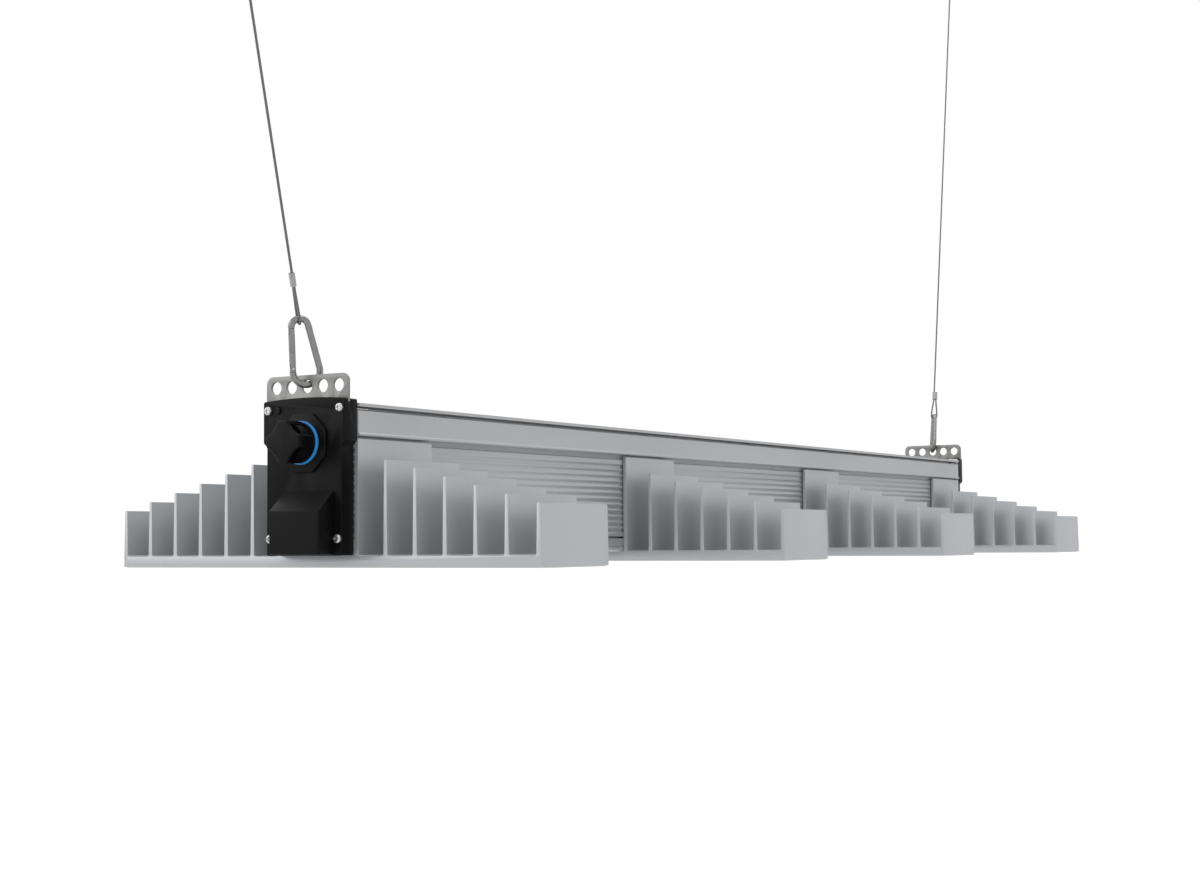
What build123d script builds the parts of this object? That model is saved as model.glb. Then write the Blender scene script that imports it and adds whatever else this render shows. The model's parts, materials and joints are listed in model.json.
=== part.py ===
"""LED grow light: a ribbed beam that carries four cross-wise finned LED modules and hangs on two wire ropes.

Millimetres. +X runs along the beam from the socket end to the blank end, +Y across it, +Z up. While the
pieces are drawn, Z = 0 is the top face of the heat sinks' base plates. export() then lowers everything, so
that the origin lies midway between the two hanger plates, level with their holes.
"""
from build123d import *
import math
import os

os.makedirs("parts", exist_ok=True)

# ---------------------------------------------------------------- driving dimensions

# Module layout along the beam
MODULES = 4
MODULE_PITCH = 296.0
SINK_LENGTH = 69.0

# Heat sink section
BASE_THICKNESS = 6.0
FIN_PITCH = 20.0
LOW_FINS = 6
FIN_ROOT = 2.8
FIN_TIP = 1.7
LOWEST_FIN = 27.6
FIN_STEP = 5.05
WALL_THICKNESS = 2.8
ROOT_RADIUS = 1.2

# Beam section
BEAM_HALF = 26.2
HEAD_OVERHANG = 3.1
LIP_OVERHANG = 0.9
RIM_OVERHANG = 0.7
LIP_LEVEL = 66.7
LIP_HEIGHT = 2.2
RECESS_HEIGHT = 3.5
RECESS_DEPTH = 1.3
HEAD_HEIGHT = 16.5
RIM_HEIGHT = 1.9
ARCH_RISE = 1.5
GROOVE_HEIGHT = 2.2
GROOVE_DEPTH = 2.3
RIB_PITCH = 4.0
RIB_DEPTH = 0.8
RIBS = 12
BAND_HEIGHT = 2.8
BEAM_WALL = 2.6
FLOOR_WALL = 2.6

# Fasteners
CAP_SCREW_R = 1.3
CAP_SCREW_HEAD_R = 2.5
CAP_SCREW_HEAD = 1.9
HANGER_SCREW_R = 1.6
HANGER_SCREW_HEAD_R = 2.8
SINK_SCREW_R = 2.0
SINK_SCREW_HEAD_R = 3.4
SINK_SCREW_REACH = 22.0
SINK_SCREW_SIDE = 14.0
COVER_SCREW_R = 1.2
COVER_SCREW_HEAD_R = 2.3
THREAD_FIT = 0.05

# Light covers and boards
COVER_DEPTH = 5.0
COVER_RIM = 6.0
COVER_SKIN = 2.2
GASKET = 0.6
BOARD = 1.6
CHIP = 3.5
CHIP_HEIGHT = 0.7

# End caps
CAP_DEPTH = 11.5
CAP_FRONT = 2.6
CAP_WALL = 2.2
CAP_PROUD = 0.5
CAP_BOTTOM = 0.4
CAP_ABOVE_RIM = 4.0
CAP_ARCH = 1.4
CAP_STEP_DROP = 5.2
CAP_STEP_HEIGHT = 2.5
END_GASKET = 1.0

# Hanger plates
HANGER_THICKNESS = 1.6
HANGER_PROUD = 0.1
HANGER_TAB_HALF = 20.0
HANGER_ABOVE_HOLES = 6.5
HANGER_SHOULDER_DROP = 1.8
HANGER_TAB_DROP = 7.4
HANGER_CORNER = 4.5
HOLES_ABOVE_RIM = 11.8
HOLE_PITCH = 11.2
HOLE_R = 3.7
HOLES = 5

# Power socket and its screw cap
SOCKET_DROP = 3.5
FLANGE_ACROSS = 33.0
FLANGE_THICKNESS = 1.4
BARREL_R = 10.2
BARREL_LENGTH = 11.0
REAR_R = 8.2
REAR_LENGTH = 20.0
SEAL_R = 12.2
SEAL_THICKNESS = 2.1
SCREW_CAP_ACROSS = 23.2
SCREW_CAP_LENGTH = 12.6
SCREW_CAP_FRONT = 2.5
SCREW_CAP_FLAT = 6.2
FLUTE_DEPTH = 1.1
MOVING_GAP = 0.35

# Cable hood under the socket
HOOD_LEFT = -21.2
HOOD_RIGHT = 14.2
HOOD_DEPTH = 13.3
HOOD_FRONT_HEIGHT = 24.0
HOOD_SLOPE_RISE = 11.5
HOOD_WALL = 2.0
HOOD_PORT_R = 4.0

# Snap hooks
WIRE_R = 1.9
HOOK_WIDE_R = 7.7
HOOK_CROWN_R = 4.8
HOOK_CENTRES = 25.2
GATE_GAP = 0.7
NOSE_GAP = 0.4
GATE_SLOT = 2.2
TONGUE = 1.4
PIVOT_UP = 2.0
NOSE_DOWN = 1.6
GATE_PIN_R = 0.6
GATE_PIN_FIT = 0.05
SPRING_R = 1.0
SEAT_RISE = 1.2
SEAT_INSET = 0.5
NEAR_HOOK_YAW = -35.0
FAR_HOOK_YAW = 211.0

# Wire ropes
ROPE_R = 0.8
ROPE_SPAN = 527.0
ROPE_LEAN_OUT = 0.3122
ROPE_LEAN_SIDE = 0.0595
EYE_LENGTH = 18.2
FERRULE_LENGTH = 7.6
FERRULE_WALL = 0.75
EYE_CLEARANCE = 0.35
LEG_GAP = 0.1
EYE_CORNERS = 4

# Driver inside the beam
DRIVER_LENGTH = 580.0
DRIVER_SIDE_GAP = 6.2
DRIVER_BOTTOM = 10.0
DRIVER_DROP = 10.7
DRIVER_WALL = 1.5
DRIVER_MOUNT_SHIFT = 30.0
DRIVER_MOUNT_HALF = 8.0
STRIP_HALF = 5.0
STRIP_THICKNESS = 1.6
WIRE_LEAD_R = 0.9
SUPPLY_WIRE_R = 1.2

# ---------------------------------------------------------------- sizes that follow

BEAM_LENGTH = (MODULES - 1) * MODULE_PITCH + SINK_LENGTH
END_X = BEAM_LENGTH / 2
HEAD_HALF = BEAM_HALF + HEAD_OVERHANG
LIP_HALF = HEAD_HALF + LIP_OVERHANG
RIM_HALF = HEAD_HALF + RIM_OVERHANG
RIM_LEVEL = LIP_LEVEL + HEAD_HEIGHT
CAP_HALF_LOW = BEAM_HALF + CAP_PROUD
CAP_HALF_HIGH = HEAD_HALF
CAP_CORNER_LEVEL = RIM_LEVEL + CAP_ABOVE_RIM
CAP_STEP_LEVEL = LIP_LEVEL - CAP_STEP_DROP
HOLE_LEVEL = RIM_LEVEL + HOLES_ABOVE_RIM
HANGER_HALF = HEAD_HALF + HANGER_PROUD
HANGER_TOP = HOLE_LEVEL + HANGER_ABOVE_HOLES
HANGER_SHOULDER = CAP_CORNER_LEVEL - HANGER_SHOULDER_DROP
HANGER_TAB_BOTTOM = RIM_LEVEL - HANGER_TAB_DROP
SOCKET_LEVEL = LIP_LEVEL - SOCKET_DROP
DRIVER_HALF = BEAM_HALF - DRIVER_SIDE_GAP
DRIVER_TOP = LIP_LEVEL - DRIVER_DROP
MODULE_X = [-END_X + SINK_LENGTH / 2 + i * MODULE_PITCH for i in range(MODULES)]
DRIVER_MOUNT_X = min(x for x in MODULE_X if x > 0) + SINK_SCREW_REACH + DRIVER_MOUNT_SHIFT
WALL_Y = BEAM_HALF + 0.3 + WALL_THICKNESS / 2
WALL_TOP = LIP_LEVEL - 1.0
SINK_HALF = WALL_Y + LOW_FINS * FIN_PITCH + FIN_ROOT / 2
RIB_START = LIP_LEVEL - RECESS_HEIGHT - BAND_HEIGHT - RIBS * RIB_PITCH
UPPER_SCREW = (RIM_HALF - 4.4, RIM_LEVEL - GROOVE_HEIGHT / 2)
LOWER_SCREW = (BEAM_HALF - 2.1, RIB_START - 2.6)
COVER_HALF_X = SINK_LENGTH / 2 - 0.5
COVER_HALF_Y = SINK_HALF - 0.5
CAVITY_HALF_X = COVER_HALF_X - COVER_RIM
CAVITY_HALF_Y = COVER_HALF_Y - COVER_RIM
HANGER_X = END_X + CAP_DEPTH - CAP_FRONT - HANGER_THICKNESS / 2
HANGER_SCREW = (12.0, RIM_LEVEL - 3.0)
SEAT_X = HANGER_X - SEAT_INSET
WIRE_LEVEL = HOLE_LEVEL + SEAT_RISE
PIN_RING = 4.0
VENT_PLACE = (18.9, UPPER_SCREW[1])
VENT_R = 1.5
VENT_HEAD_R = 2.1


# ---------------------------------------------------------------- helpers

def across(outline, x0, x1):
    """A solid with the given Y-Z outline, from x0 to x1 along the beam."""
    return extrude(Plane.YZ.offset(min(x0, x1)) * outline, abs(x1 - x0))


def box(x0, x1, y0, y1, z0, z1):
    """A box between the given limits."""
    corner = Pos((x0 + x1) / 2, (y0 + y1) / 2, (z0 + z1) / 2)
    return corner * Box(abs(x1 - x0), abs(y1 - y0), abs(z1 - z0))


def rod_x(r, x0, x1, y, z):
    """A round rod along the beam."""
    return Pos((x0 + x1) / 2, y, z) * Rot(0, 90, 0) * Cylinder(r, abs(x1 - x0))


def rod_z(r, x, y, z0, z1):
    """A round upright rod."""
    return Pos(x, y, (z0 + z1) / 2) * Cylinder(r, abs(z1 - z0))


def export(name, *solids):
    """Write one node. Several solids stay separate solids of that node."""
    flat = [one for solid in solids for one in solid.solids()]
    placed = [Pos(0, 0, -HOLE_LEVEL) * one for one in flat]
    shape = placed[0] if len(placed) == 1 else Compound(children=placed)
    shape.label = name
    export_step(shape, f"parts/{name}.step")


# ---------------------------------------------------------------- heat sinks and light covers

def fin(y, root, tip, top):
    """One upright fin's outline, from inside the base plate to its top."""
    sink = BASE_THICKNESS / 2
    points = [(y - root / 2, -sink), (y + root / 2, -sink), (y + root / 2, 0), (y + tip / 2, top),
              (y - tip / 2, top), (y - root / 2, 0)]
    return make_face(Polyline(*points, close=True))


def heat_sink_outline():
    """The extruded section: a base plate, a tall wall either side of the beam and six fins beyond each."""
    outline = Pos(0, -BASE_THICKNESS / 2) * Rectangle(2 * SINK_HALF, BASE_THICKNESS)
    for side in (-1, 1):
        outline += fin(side * WALL_Y, WALL_THICKNESS, WALL_THICKNESS - 0.4, WALL_TOP)
        for k in range(LOW_FINS):
            top = LOWEST_FIN + (LOW_FINS - 1 - k) * FIN_STEP
            outline += fin(side * (WALL_Y + (k + 1) * FIN_PITCH), FIN_ROOT, FIN_TIP, top)
    roots = [v for v in outline.vertices() if abs(v.Y) < 1e-6 and abs(v.X) < SINK_HALF - 0.1]
    outline = fillet(roots, ROOT_RADIUS)
    tops = [v for v in outline.vertices() if abs(v.Y - WALL_TOP) < 1e-6]
    return fillet(tops, WALL_THICKNESS * 0.38)


def sink_screw_places(x):
    """Where the screws from a heat sink into the beam's floor stand."""
    return [(x + end * SINK_SCREW_REACH, side * SINK_SCREW_SIDE) for end in (-1, 1) for side in (-1, 1)]


def heat_sink(outline, x):
    """One heat sink with its lead hole and its recessed screw holes."""
    body = across(outline, x - SINK_LENGTH / 2, x + SINK_LENGTH / 2)
    body -= rod_z(5.0, x, 0, -BASE_THICKNESS - 1, 1)
    for sx, sy in sink_screw_places(x):
        body -= rod_z(SINK_SCREW_R + 0.2, sx, sy, -BASE_THICKNESS - 1, 1)
        body -= rod_z(SINK_SCREW_HEAD_R + 0.3, sx, sy, -BASE_THICKNESS - 1, -BASE_THICKNESS + 3)
    for sx, sy in cover_screw_places(x):
        body -= rod_z(COVER_SCREW_R, sx, sy, -BASE_THICKNESS - 1, -1.5)
    return body


def cover_screw_places(x):
    """Screw places along a light cover's rim."""
    dx = COVER_HALF_X - COVER_RIM / 2
    reach = COVER_HALF_Y - COVER_RIM / 2
    rows = [-reach + i * reach / 2 for i in range(5)]
    return [(x + side * dx, y) for side in (-1, 1) for y in rows]


def light_cover(x):
    """A shallow tray of clear plastic, open at the top, with screw holes in its rim."""
    top = -BASE_THICKNESS - GASKET
    low = top - COVER_DEPTH
    body = box(x - COVER_HALF_X, x + COVER_HALF_X, -COVER_HALF_Y, COVER_HALF_Y, low, top)
    body = fillet(body.edges().filter_by(Axis.Z), 3.0)
    body = fillet(body.faces().sort_by(Axis.Z)[0].edges(), 0.8)
    body -= box(x - CAVITY_HALF_X, x + CAVITY_HALF_X, -CAVITY_HALF_Y, CAVITY_HALF_Y, low + COVER_SKIN, top + 1)
    for sx, sy in cover_screw_places(x):
        body -= rod_z(COVER_SCREW_R + 0.2, sx, sy, low - 1, top + 1)
        body -= rod_z(COVER_SCREW_HEAD_R + 0.2, sx, sy, low - 1, low + 1.6)
    return body


def cover_gasket(x):
    """The flat seal between a light cover's rim and the heat sink."""
    low = -BASE_THICKNESS - GASKET
    body = box(x - COVER_HALF_X + 0.6, x + COVER_HALF_X - 0.6, -COVER_HALF_Y + 0.6, COVER_HALF_Y - 0.6,
               low, -BASE_THICKNESS)
    body -= box(x - CAVITY_HALF_X, x + CAVITY_HALF_X, -CAVITY_HALF_Y, CAVITY_HALF_Y, low - 1, 1)
    for sx, sy in cover_screw_places(x):
        body -= rod_z(COVER_SCREW_R + 0.2, sx, sy, low - 1, 1)
    return body


def cover_screws(x):
    """Flat-headed screws that hold one light cover."""
    low = -BASE_THICKNESS - GASKET - COVER_DEPTH
    made = []
    for sx, sy in cover_screw_places(x):
        screw = rod_z(COVER_SCREW_HEAD_R, sx, sy, low + 0.2, low + 1.6)
        screw += rod_z(COVER_SCREW_R, sx, sy, low + 1.6, -1.6)
        made.append(screw)
    return made


def led_board(x):
    """The board that carries one module's LEDs."""
    clear = 1.0
    return box(x - CAVITY_HALF_X + clear, x + CAVITY_HALF_X - clear, -CAVITY_HALF_Y + clear,
               CAVITY_HALF_Y - clear, -BASE_THICKNESS - BOARD, -BASE_THICKNESS)


def led_chips(x, columns=3, rows=20):
    """The LEDs of one module, in an even grid on the board's underside."""
    top = -BASE_THICKNESS - BOARD
    dx = 2 * (CAVITY_HALF_X - 6) / (columns - 1)
    dy = 2 * (CAVITY_HALF_Y - 7) / (rows - 1)
    made = []
    for i in range(columns):
        for j in range(rows):
            cx = x - CAVITY_HALF_X + 6 + i * dx
            cy = -CAVITY_HALF_Y + 7 + j * dy
            made.append(box(cx - CHIP / 2, cx + CHIP / 2, cy - CHIP / 2, cy + CHIP / 2, top - CHIP_HEIGHT, top))
    return made


def sink_screws(x):
    """Screws that hold one heat sink up against the beam's floor."""
    made = []
    for sx, sy in sink_screw_places(x):
        screw = rod_z(SINK_SCREW_HEAD_R, sx, sy, -BASE_THICKNESS + 0.2, -BASE_THICKNESS + 3)
        screw += rod_z(SINK_SCREW_R, sx, sy, -BASE_THICKNESS + 3, FLOOR_WALL + 1.5)
        made.append(screw)
    return made


# ---------------------------------------------------------------- beam

def beam_outline():
    """The extruded beam: arched top, rim, screw grooves, lip and ribbed sides round a hollow core."""
    recess = BEAM_HALF - RECESS_DEPTH
    rim_top = RIM_LEVEL + RIM_HEIGHT
    groove_low = RIM_LEVEL - GROOVE_HEIGHT
    half = [(BEAM_HALF - 1, 0), (BEAM_HALF, 1), (BEAM_HALF, LIP_LEVEL - RECESS_HEIGHT),
            (recess, LIP_LEVEL - RECESS_HEIGHT + 0.6), (recess, LIP_LEVEL), (LIP_HALF, LIP_LEVEL),
            (LIP_HALF, LIP_LEVEL + LIP_HEIGHT - 0.9), (HEAD_HALF, LIP_LEVEL + LIP_HEIGHT),
            (HEAD_HALF, groove_low), (HEAD_HALF - GROOVE_DEPTH, groove_low),
            (HEAD_HALF - GROOVE_DEPTH, RIM_LEVEL), (RIM_HALF, RIM_LEVEL), (RIM_HALF, rim_top)]
    arch = ThreePointArc((RIM_HALF, rim_top), (0, rim_top + ARCH_RISE), (-RIM_HALF, rim_top))
    left = [(-y, z) for y, z in reversed(half)]
    outline = make_face([Polyline(*half), arch, Polyline(*left), Line(left[-1], half[0])])
    edge = [v for v in outline.vertices() if abs(v.Y - LIP_LEVEL) < 1e-6 and abs(abs(v.X) - LIP_HALF) < 1e-6]
    return fillet(edge, 0.8)


def beam_core():
    """The hollow inside the beam, with two screw bosses left standing under its roof."""
    roof = RIM_LEVEL
    neck = BEAM_HALF - RECESS_DEPTH - BEAM_WALL + 0.1
    head = HEAD_HALF - BEAM_WALL
    low = LOWER_SCREW[0] - 2.6
    half = [(low, FLOOR_WALL), (low, LOWER_SCREW[1] + 4), (neck, LOWER_SCREW[1] + 5.5), (neck, LIP_LEVEL - 0.7),
            (head, LIP_LEVEL + 3.8), (head, roof - 6.2), (UPPER_SCREW[0] - 3.6, roof - 4.2),
            (UPPER_SCREW[0] - 3.6, roof)]
    core = make_face(Polyline(*half, *[(-y, z) for y, z in reversed(half)], close=True))
    for side in (-1, 1):
        core -= Pos(side * HANGER_SCREW[0], HANGER_SCREW[1]) * Circle(3.2)
        core -= Pos(side * HANGER_SCREW[0], HANGER_SCREW[1] + 3) * Rectangle(5, 4)
    return core


def beam():
    """The whole beam, ribbed, hollow and drilled."""
    outline = beam_outline() - beam_core()
    valley_r = 2.2
    for side in (-1, 1):
        for i in range(RIBS):
            z = RIB_START + (i + 0.5) * RIB_PITCH
            outline -= Pos(side * (BEAM_HALF - RIB_DEPTH + valley_r), z) * Circle(valley_r)
        outline -= Pos(side * UPPER_SCREW[0], UPPER_SCREW[1]) * Circle(CAP_SCREW_R + THREAD_FIT)
        outline -= Pos(side * (HEAD_HALF - 2), UPPER_SCREW[1]) * Rectangle(4, GROOVE_HEIGHT)
        outline -= Pos(side * LOWER_SCREW[0], LOWER_SCREW[1]) * Circle(CAP_SCREW_R + THREAD_FIT)
        outline -= Pos(side * (LOWER_SCREW[0] + 2), LOWER_SCREW[1]) * Rectangle(4, 1.3)
        outline -= Pos(side * HANGER_SCREW[0], HANGER_SCREW[1]) * Circle(HANGER_SCREW_R + THREAD_FIT)
        outline -= Pos(side * BEAM_HALF, 3.6) * Rectangle(0.8, 0.5)
    body = across(outline, -END_X, END_X)
    for x in MODULE_X:
        body -= rod_z(5.0, x, 0, -1, FLOOR_WALL + 1)
        for sx, sy in sink_screw_places(x):
            body -= rod_z(SINK_SCREW_R + THREAD_FIT, sx, sy, -1, FLOOR_WALL + 1)
    return body


# ---------------------------------------------------------------- end caps and hanger plates

def cap_outline(inset=0.0, top_drop=0.0):
    """An end cap's outline: narrow below, wider at the beam's head, with an arched top."""
    low = CAP_HALF_LOW - inset
    high = CAP_HALF_HIGH - inset
    bottom = CAP_BOTTOM + inset
    corner = CAP_CORNER_LEVEL - inset - top_drop
    half = [(low, bottom), (low, CAP_STEP_LEVEL), (high, CAP_STEP_LEVEL + CAP_STEP_HEIGHT), (high, corner)]
    left = [(-y, z) for y, z in reversed(half)]
    arch = ThreePointArc((high, corner), (0, corner + CAP_ARCH), (-high, corner))
    return make_face([Polyline(*half), arch, Polyline(*left), Line(left[-1], half[0])])


def screw_places():
    """The four end cap screws' places in Y and Z."""
    return [(side * y, z) for y, z in (UPPER_SCREW, LOWER_SCREW) for side in (-1, 1)]


def end_cap(end, socketed):
    """A black moulded cap. end is -1 for the socket end and 1 for the blank end."""
    back = end * (END_X + END_GASKET)
    front = end * (END_X + CAP_DEPTH)
    inner = front - end * CAP_FRONT
    face = fillet([v for v in cap_outline().vertices() if v.Y < 1 or v.Y > CAP_CORNER_LEVEL - 1], 1.2)
    body = across(face, back, front)
    hollow = across(cap_outline(CAP_WALL, 1.3), back, inner)
    for y, z in screw_places():
        hollow -= rod_x(3.3, back, inner, y, z)
    body -= hollow
    slot_low = HANGER_SHOULDER - 0.2
    slot_back = inner - end * (HANGER_THICKNESS + 0.2)
    body -= box(slot_back, inner, -40, 40, slot_low, CAP_CORNER_LEVEL + 9)
    tab = HANGER_TAB_HALF + 0.3
    body -= box(back, inner, -tab, tab, HANGER_TAB_BOTTOM, CAP_CORNER_LEVEL + 9)
    for y, z in screw_places():
        body -= rod_x(CAP_SCREW_R + 0.3, back - end, front + end, y, z)
    if socketed:
        body -= rod_x(REAR_R + 0.1, back, front + end, 0, SOCKET_LEVEL)
        body -= rod_x(HOOD_PORT_R, back, front + end, (HOOD_LEFT + HOOD_RIGHT) / 2, HOOD_FRONT_HEIGHT / 2)
        body -= rod_x(VENT_R + 0.05, back, front + end, *VENT_PLACE)
    return body


def end_gasket(end):
    """The flat seal between an end cap and the beam's end."""
    outline = cap_outline(0.8) - beam_core()
    for y, z in screw_places():
        outline -= Pos(y, z) * Circle(CAP_SCREW_R + 0.2)
    tab = HANGER_TAB_HALF + 0.3
    outline -= Pos(0, CAP_CORNER_LEVEL) * Rectangle(2 * tab, 2 * (CAP_CORNER_LEVEL - RIM_LEVEL))
    outline = outline.faces().sort_by(SortBy.AREA)[-1]
    for side in (-1, 1):
        outline -= Pos(side * HANGER_SCREW[0], HANGER_SCREW[1]) * Circle(3.6)
    return across(outline, end * END_X, end * (END_X + END_GASKET))


def cross_recess(x, end, y, z):
    """The cross cut into a pan head whose outer face is at x."""
    long_bar = box(x - end * 0.9, x + end * 0.1, y - 1.5, y + 1.5, z - 0.35, z + 0.35)
    return long_bar + box(x - end * 0.9, x + end * 0.1, y - 0.35, y + 0.35, z - 1.5, z + 1.5)


def end_cap_screw(end, y, z):
    """A pan-head screw through an end cap into the beam's screw groove."""
    face = end * (END_X + CAP_DEPTH)
    head_end = face + end * CAP_SCREW_HEAD
    head = rod_x(CAP_SCREW_HEAD_R, face, head_end, y, z)
    rounded = head.faces().sort_by(Axis.X)[-1 if end > 0 else 0]
    head = fillet(rounded.edges(), CAP_SCREW_HEAD * 0.6)
    shank = rod_x(CAP_SCREW_R, face, end * (END_X - 12), y, z)
    return head - cross_recess(head_end, end, y, z) + shank


def hanger_plate(end):
    """A steel plate with a row of round holes above the cap and a screwed tab inside it."""
    top = HANGER_TOP
    head = Pos(0, (top + HANGER_SHOULDER) / 2) * Rectangle(2 * HANGER_HALF, top - HANGER_SHOULDER)
    head = fillet([v for v in head.vertices() if v.Y > top - 1], HANGER_CORNER)
    tab = Pos(0, (HANGER_SHOULDER + HANGER_TAB_BOTTOM) / 2 + 0.5)
    plate = head + tab * Rectangle(2 * HANGER_TAB_HALF, HANGER_SHOULDER - HANGER_TAB_BOTTOM + 1)
    for i in range(HOLES):
        plate -= Pos((i - (HOLES - 1) / 2) * HOLE_PITCH, HOLE_LEVEL) * Circle(HOLE_R)
    half = HANGER_THICKNESS / 2
    body = across(plate, end * HANGER_X - half, end * HANGER_X + half)
    for side in (-1, 1):
        body -= hanger_screw(end, side, 0.1)
    return body


def hanger_spacer(end, side):
    """A sleeve that holds the hanger plate off the beam's end."""
    y, z = side * HANGER_SCREW[0], HANGER_SCREW[1]
    outer = end * (HANGER_X - HANGER_THICKNESS / 2)
    return rod_x(3.2, end * END_X, outer, y, z) - rod_x(HANGER_SCREW_R + 0.2, end * END_X, outer, y, z)


def hanger_screw(end, side, clearance=0.0):
    """A flush screw through plate and sleeve into the beam's roof boss, or the hole that it needs."""
    y, z = side * HANGER_SCREW[0], HANGER_SCREW[1]
    face = end * (HANGER_X + HANGER_THICKNESS / 2)
    sink = 1.3
    narrow, wide = HANGER_SCREW_R + clearance, HANGER_SCREW_HEAD_R + clearance
    head = Pos(face - end * sink / 2, y, z) * Rot(0, 90 * end, 0) * Cone(narrow, wide, sink)
    return head + rod_x(narrow, face - end * sink, end * (END_X - 14), y, z)


# ---------------------------------------------------------------- socket, screw cap and hood

def fluted_outline():
    """The screw cap's grip: four flats, with a shallow flute across each corner between them."""
    reach = SCREW_CAP_ACROSS / 2
    flat = SCREW_CAP_FLAT / 2
    grip = RectangleRounded(2 * reach, 2 * reach, 1.0)
    along = (reach + flat) / 2
    chord = math.hypot(reach - flat, reach - flat)
    flute_r = (chord ** 2 / 4 + FLUTE_DEPTH ** 2) / (2 * FLUTE_DEPTH)
    out = along * math.sqrt(2) - FLUTE_DEPTH + flute_r
    for quarter in range(4):
        angle = math.radians(45 + 90 * quarter)
        keep = Pos(out * math.cos(angle), out * math.sin(angle)) * Circle(flute_r)
        grip -= keep
    return grip


def socket_body():
    """The chassis socket: flange, threaded barrel outside and a rear barrel through the end cap."""
    face = -(END_X + CAP_DEPTH)
    flange_front = face - FLANGE_THICKNESS
    octagon = RegularPolygon(FLANGE_ACROSS / 2, 8, major_radius=False, rotation=22.5)
    flange = across(Pos(0, SOCKET_LEVEL) * octagon, flange_front, face)
    flange = fillet(flange.edges().filter_by(Axis.X), 2.5)
    body = flange + rod_x(BARREL_R, flange_front - BARREL_LENGTH, flange_front, 0, SOCKET_LEVEL)
    body += rod_x(REAR_R, flange_front, flange_front + REAR_LENGTH, 0, SOCKET_LEVEL)
    body -= rod_x(BARREL_R - 2.2, flange_front - BARREL_LENGTH, flange_front - 1.5, 0, SOCKET_LEVEL)
    for y, z in pin_places():
        body -= rod_x(1.05, flange_front - BARREL_LENGTH, flange_front + REAR_LENGTH + 1, y, z)
    return body


def pin_places():
    """The three socket pins' places."""
    places = []
    for i in range(3):
        angle = math.radians(90 + 120 * i)
        places.append((PIN_RING * math.cos(angle), SOCKET_LEVEL + PIN_RING * math.sin(angle)))
    return places


def socket_parts():
    """Pins, lock nut, seal ring and screw cap of the power socket."""
    face = -(END_X + CAP_DEPTH)
    flange_front = face - FLANGE_THICKNESS
    pins = [rod_x(1.0, flange_front - 8, flange_front + REAR_LENGTH + 3, y, z) for y, z in pin_places()]
    nut_face = face + CAP_FRONT
    nut = across(Pos(0, SOCKET_LEVEL) * RegularPolygon(11.5, 6), nut_face, nut_face + 3.5)
    nut -= rod_x(REAR_R + THREAD_FIT, nut_face, nut_face + 3.5, 0, SOCKET_LEVEL)
    bore_r = BARREL_R + MOVING_GAP
    seal_back = flange_front - 0.3
    seal = rod_x(SEAL_R, seal_back - SEAL_THICKNESS, seal_back, 0, SOCKET_LEVEL)
    seal = chamfer(seal.edges().filter_by(GeomType.CIRCLE), 0.4)
    seal -= rod_x(bore_r, seal_back - SEAL_THICKNESS, seal_back, 0, SOCKET_LEVEL)
    cap_back = seal_back - SEAL_THICKNESS - 0.3
    skirt_front = cap_back - 2.0
    cap_front = skirt_front - SCREW_CAP_LENGTH + 0.5
    grip = across(Pos(0, SOCKET_LEVEL) * fluted_outline(), cap_front, skirt_front)
    grip = fillet(grip.faces().sort_by(Axis.X)[0].edges(), 0.7)
    cap = grip + rod_x(SEAL_R - 0.7, skirt_front, cap_back, 0, SOCKET_LEVEL)
    cap -= rod_x(bore_r, cap_front + SCREW_CAP_FRONT, cap_back, 0, SOCKET_LEVEL)
    return pins, nut, seal, cap


def cable_hood():
    """The sloped cover below the socket, hollow, with a round cable port in its floor."""
    back = -(END_X + CAP_DEPTH)
    front = back - HOOD_DEPTH
    floor = CAP_BOTTOM + 0.6

    def shell(inset):
        top = floor + HOOD_FRONT_HEIGHT - inset
        base = floor + inset
        side = [(back, base), (front + inset, base), (front + inset, top), (back, top + HOOD_SLOPE_RISE)]
        profile = make_face(Polyline(*side, close=True))
        width = HOOD_RIGHT - HOOD_LEFT - 2 * inset
        upright = Plane.XZ.offset(-(HOOD_RIGHT - inset))
        return extrude(upright * profile, width)

    outer = shell(0)
    outer = fillet(outer.faces().sort_by(Axis.X)[0].edges(), 1.0)
    hood = outer - shell(HOOD_WALL)
    return hood - rod_z(HOOD_PORT_R, (back + front) / 2, (HOOD_LEFT + HOOD_RIGHT) / 2, -1, 5)


def vent_plug():
    """The small round plug beside one of the cap's screws."""
    face = -(END_X + CAP_DEPTH)
    head = rod_x(VENT_HEAD_R, face - 0.8, face, *VENT_PLACE)
    head = fillet(head.faces().sort_by(Axis.X)[0].edges(), 0.4)
    return head + rod_x(VENT_R, face, face + CAP_FRONT - 0.3, *VENT_PLACE)


# ---------------------------------------------------------------- driver and wiring

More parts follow.
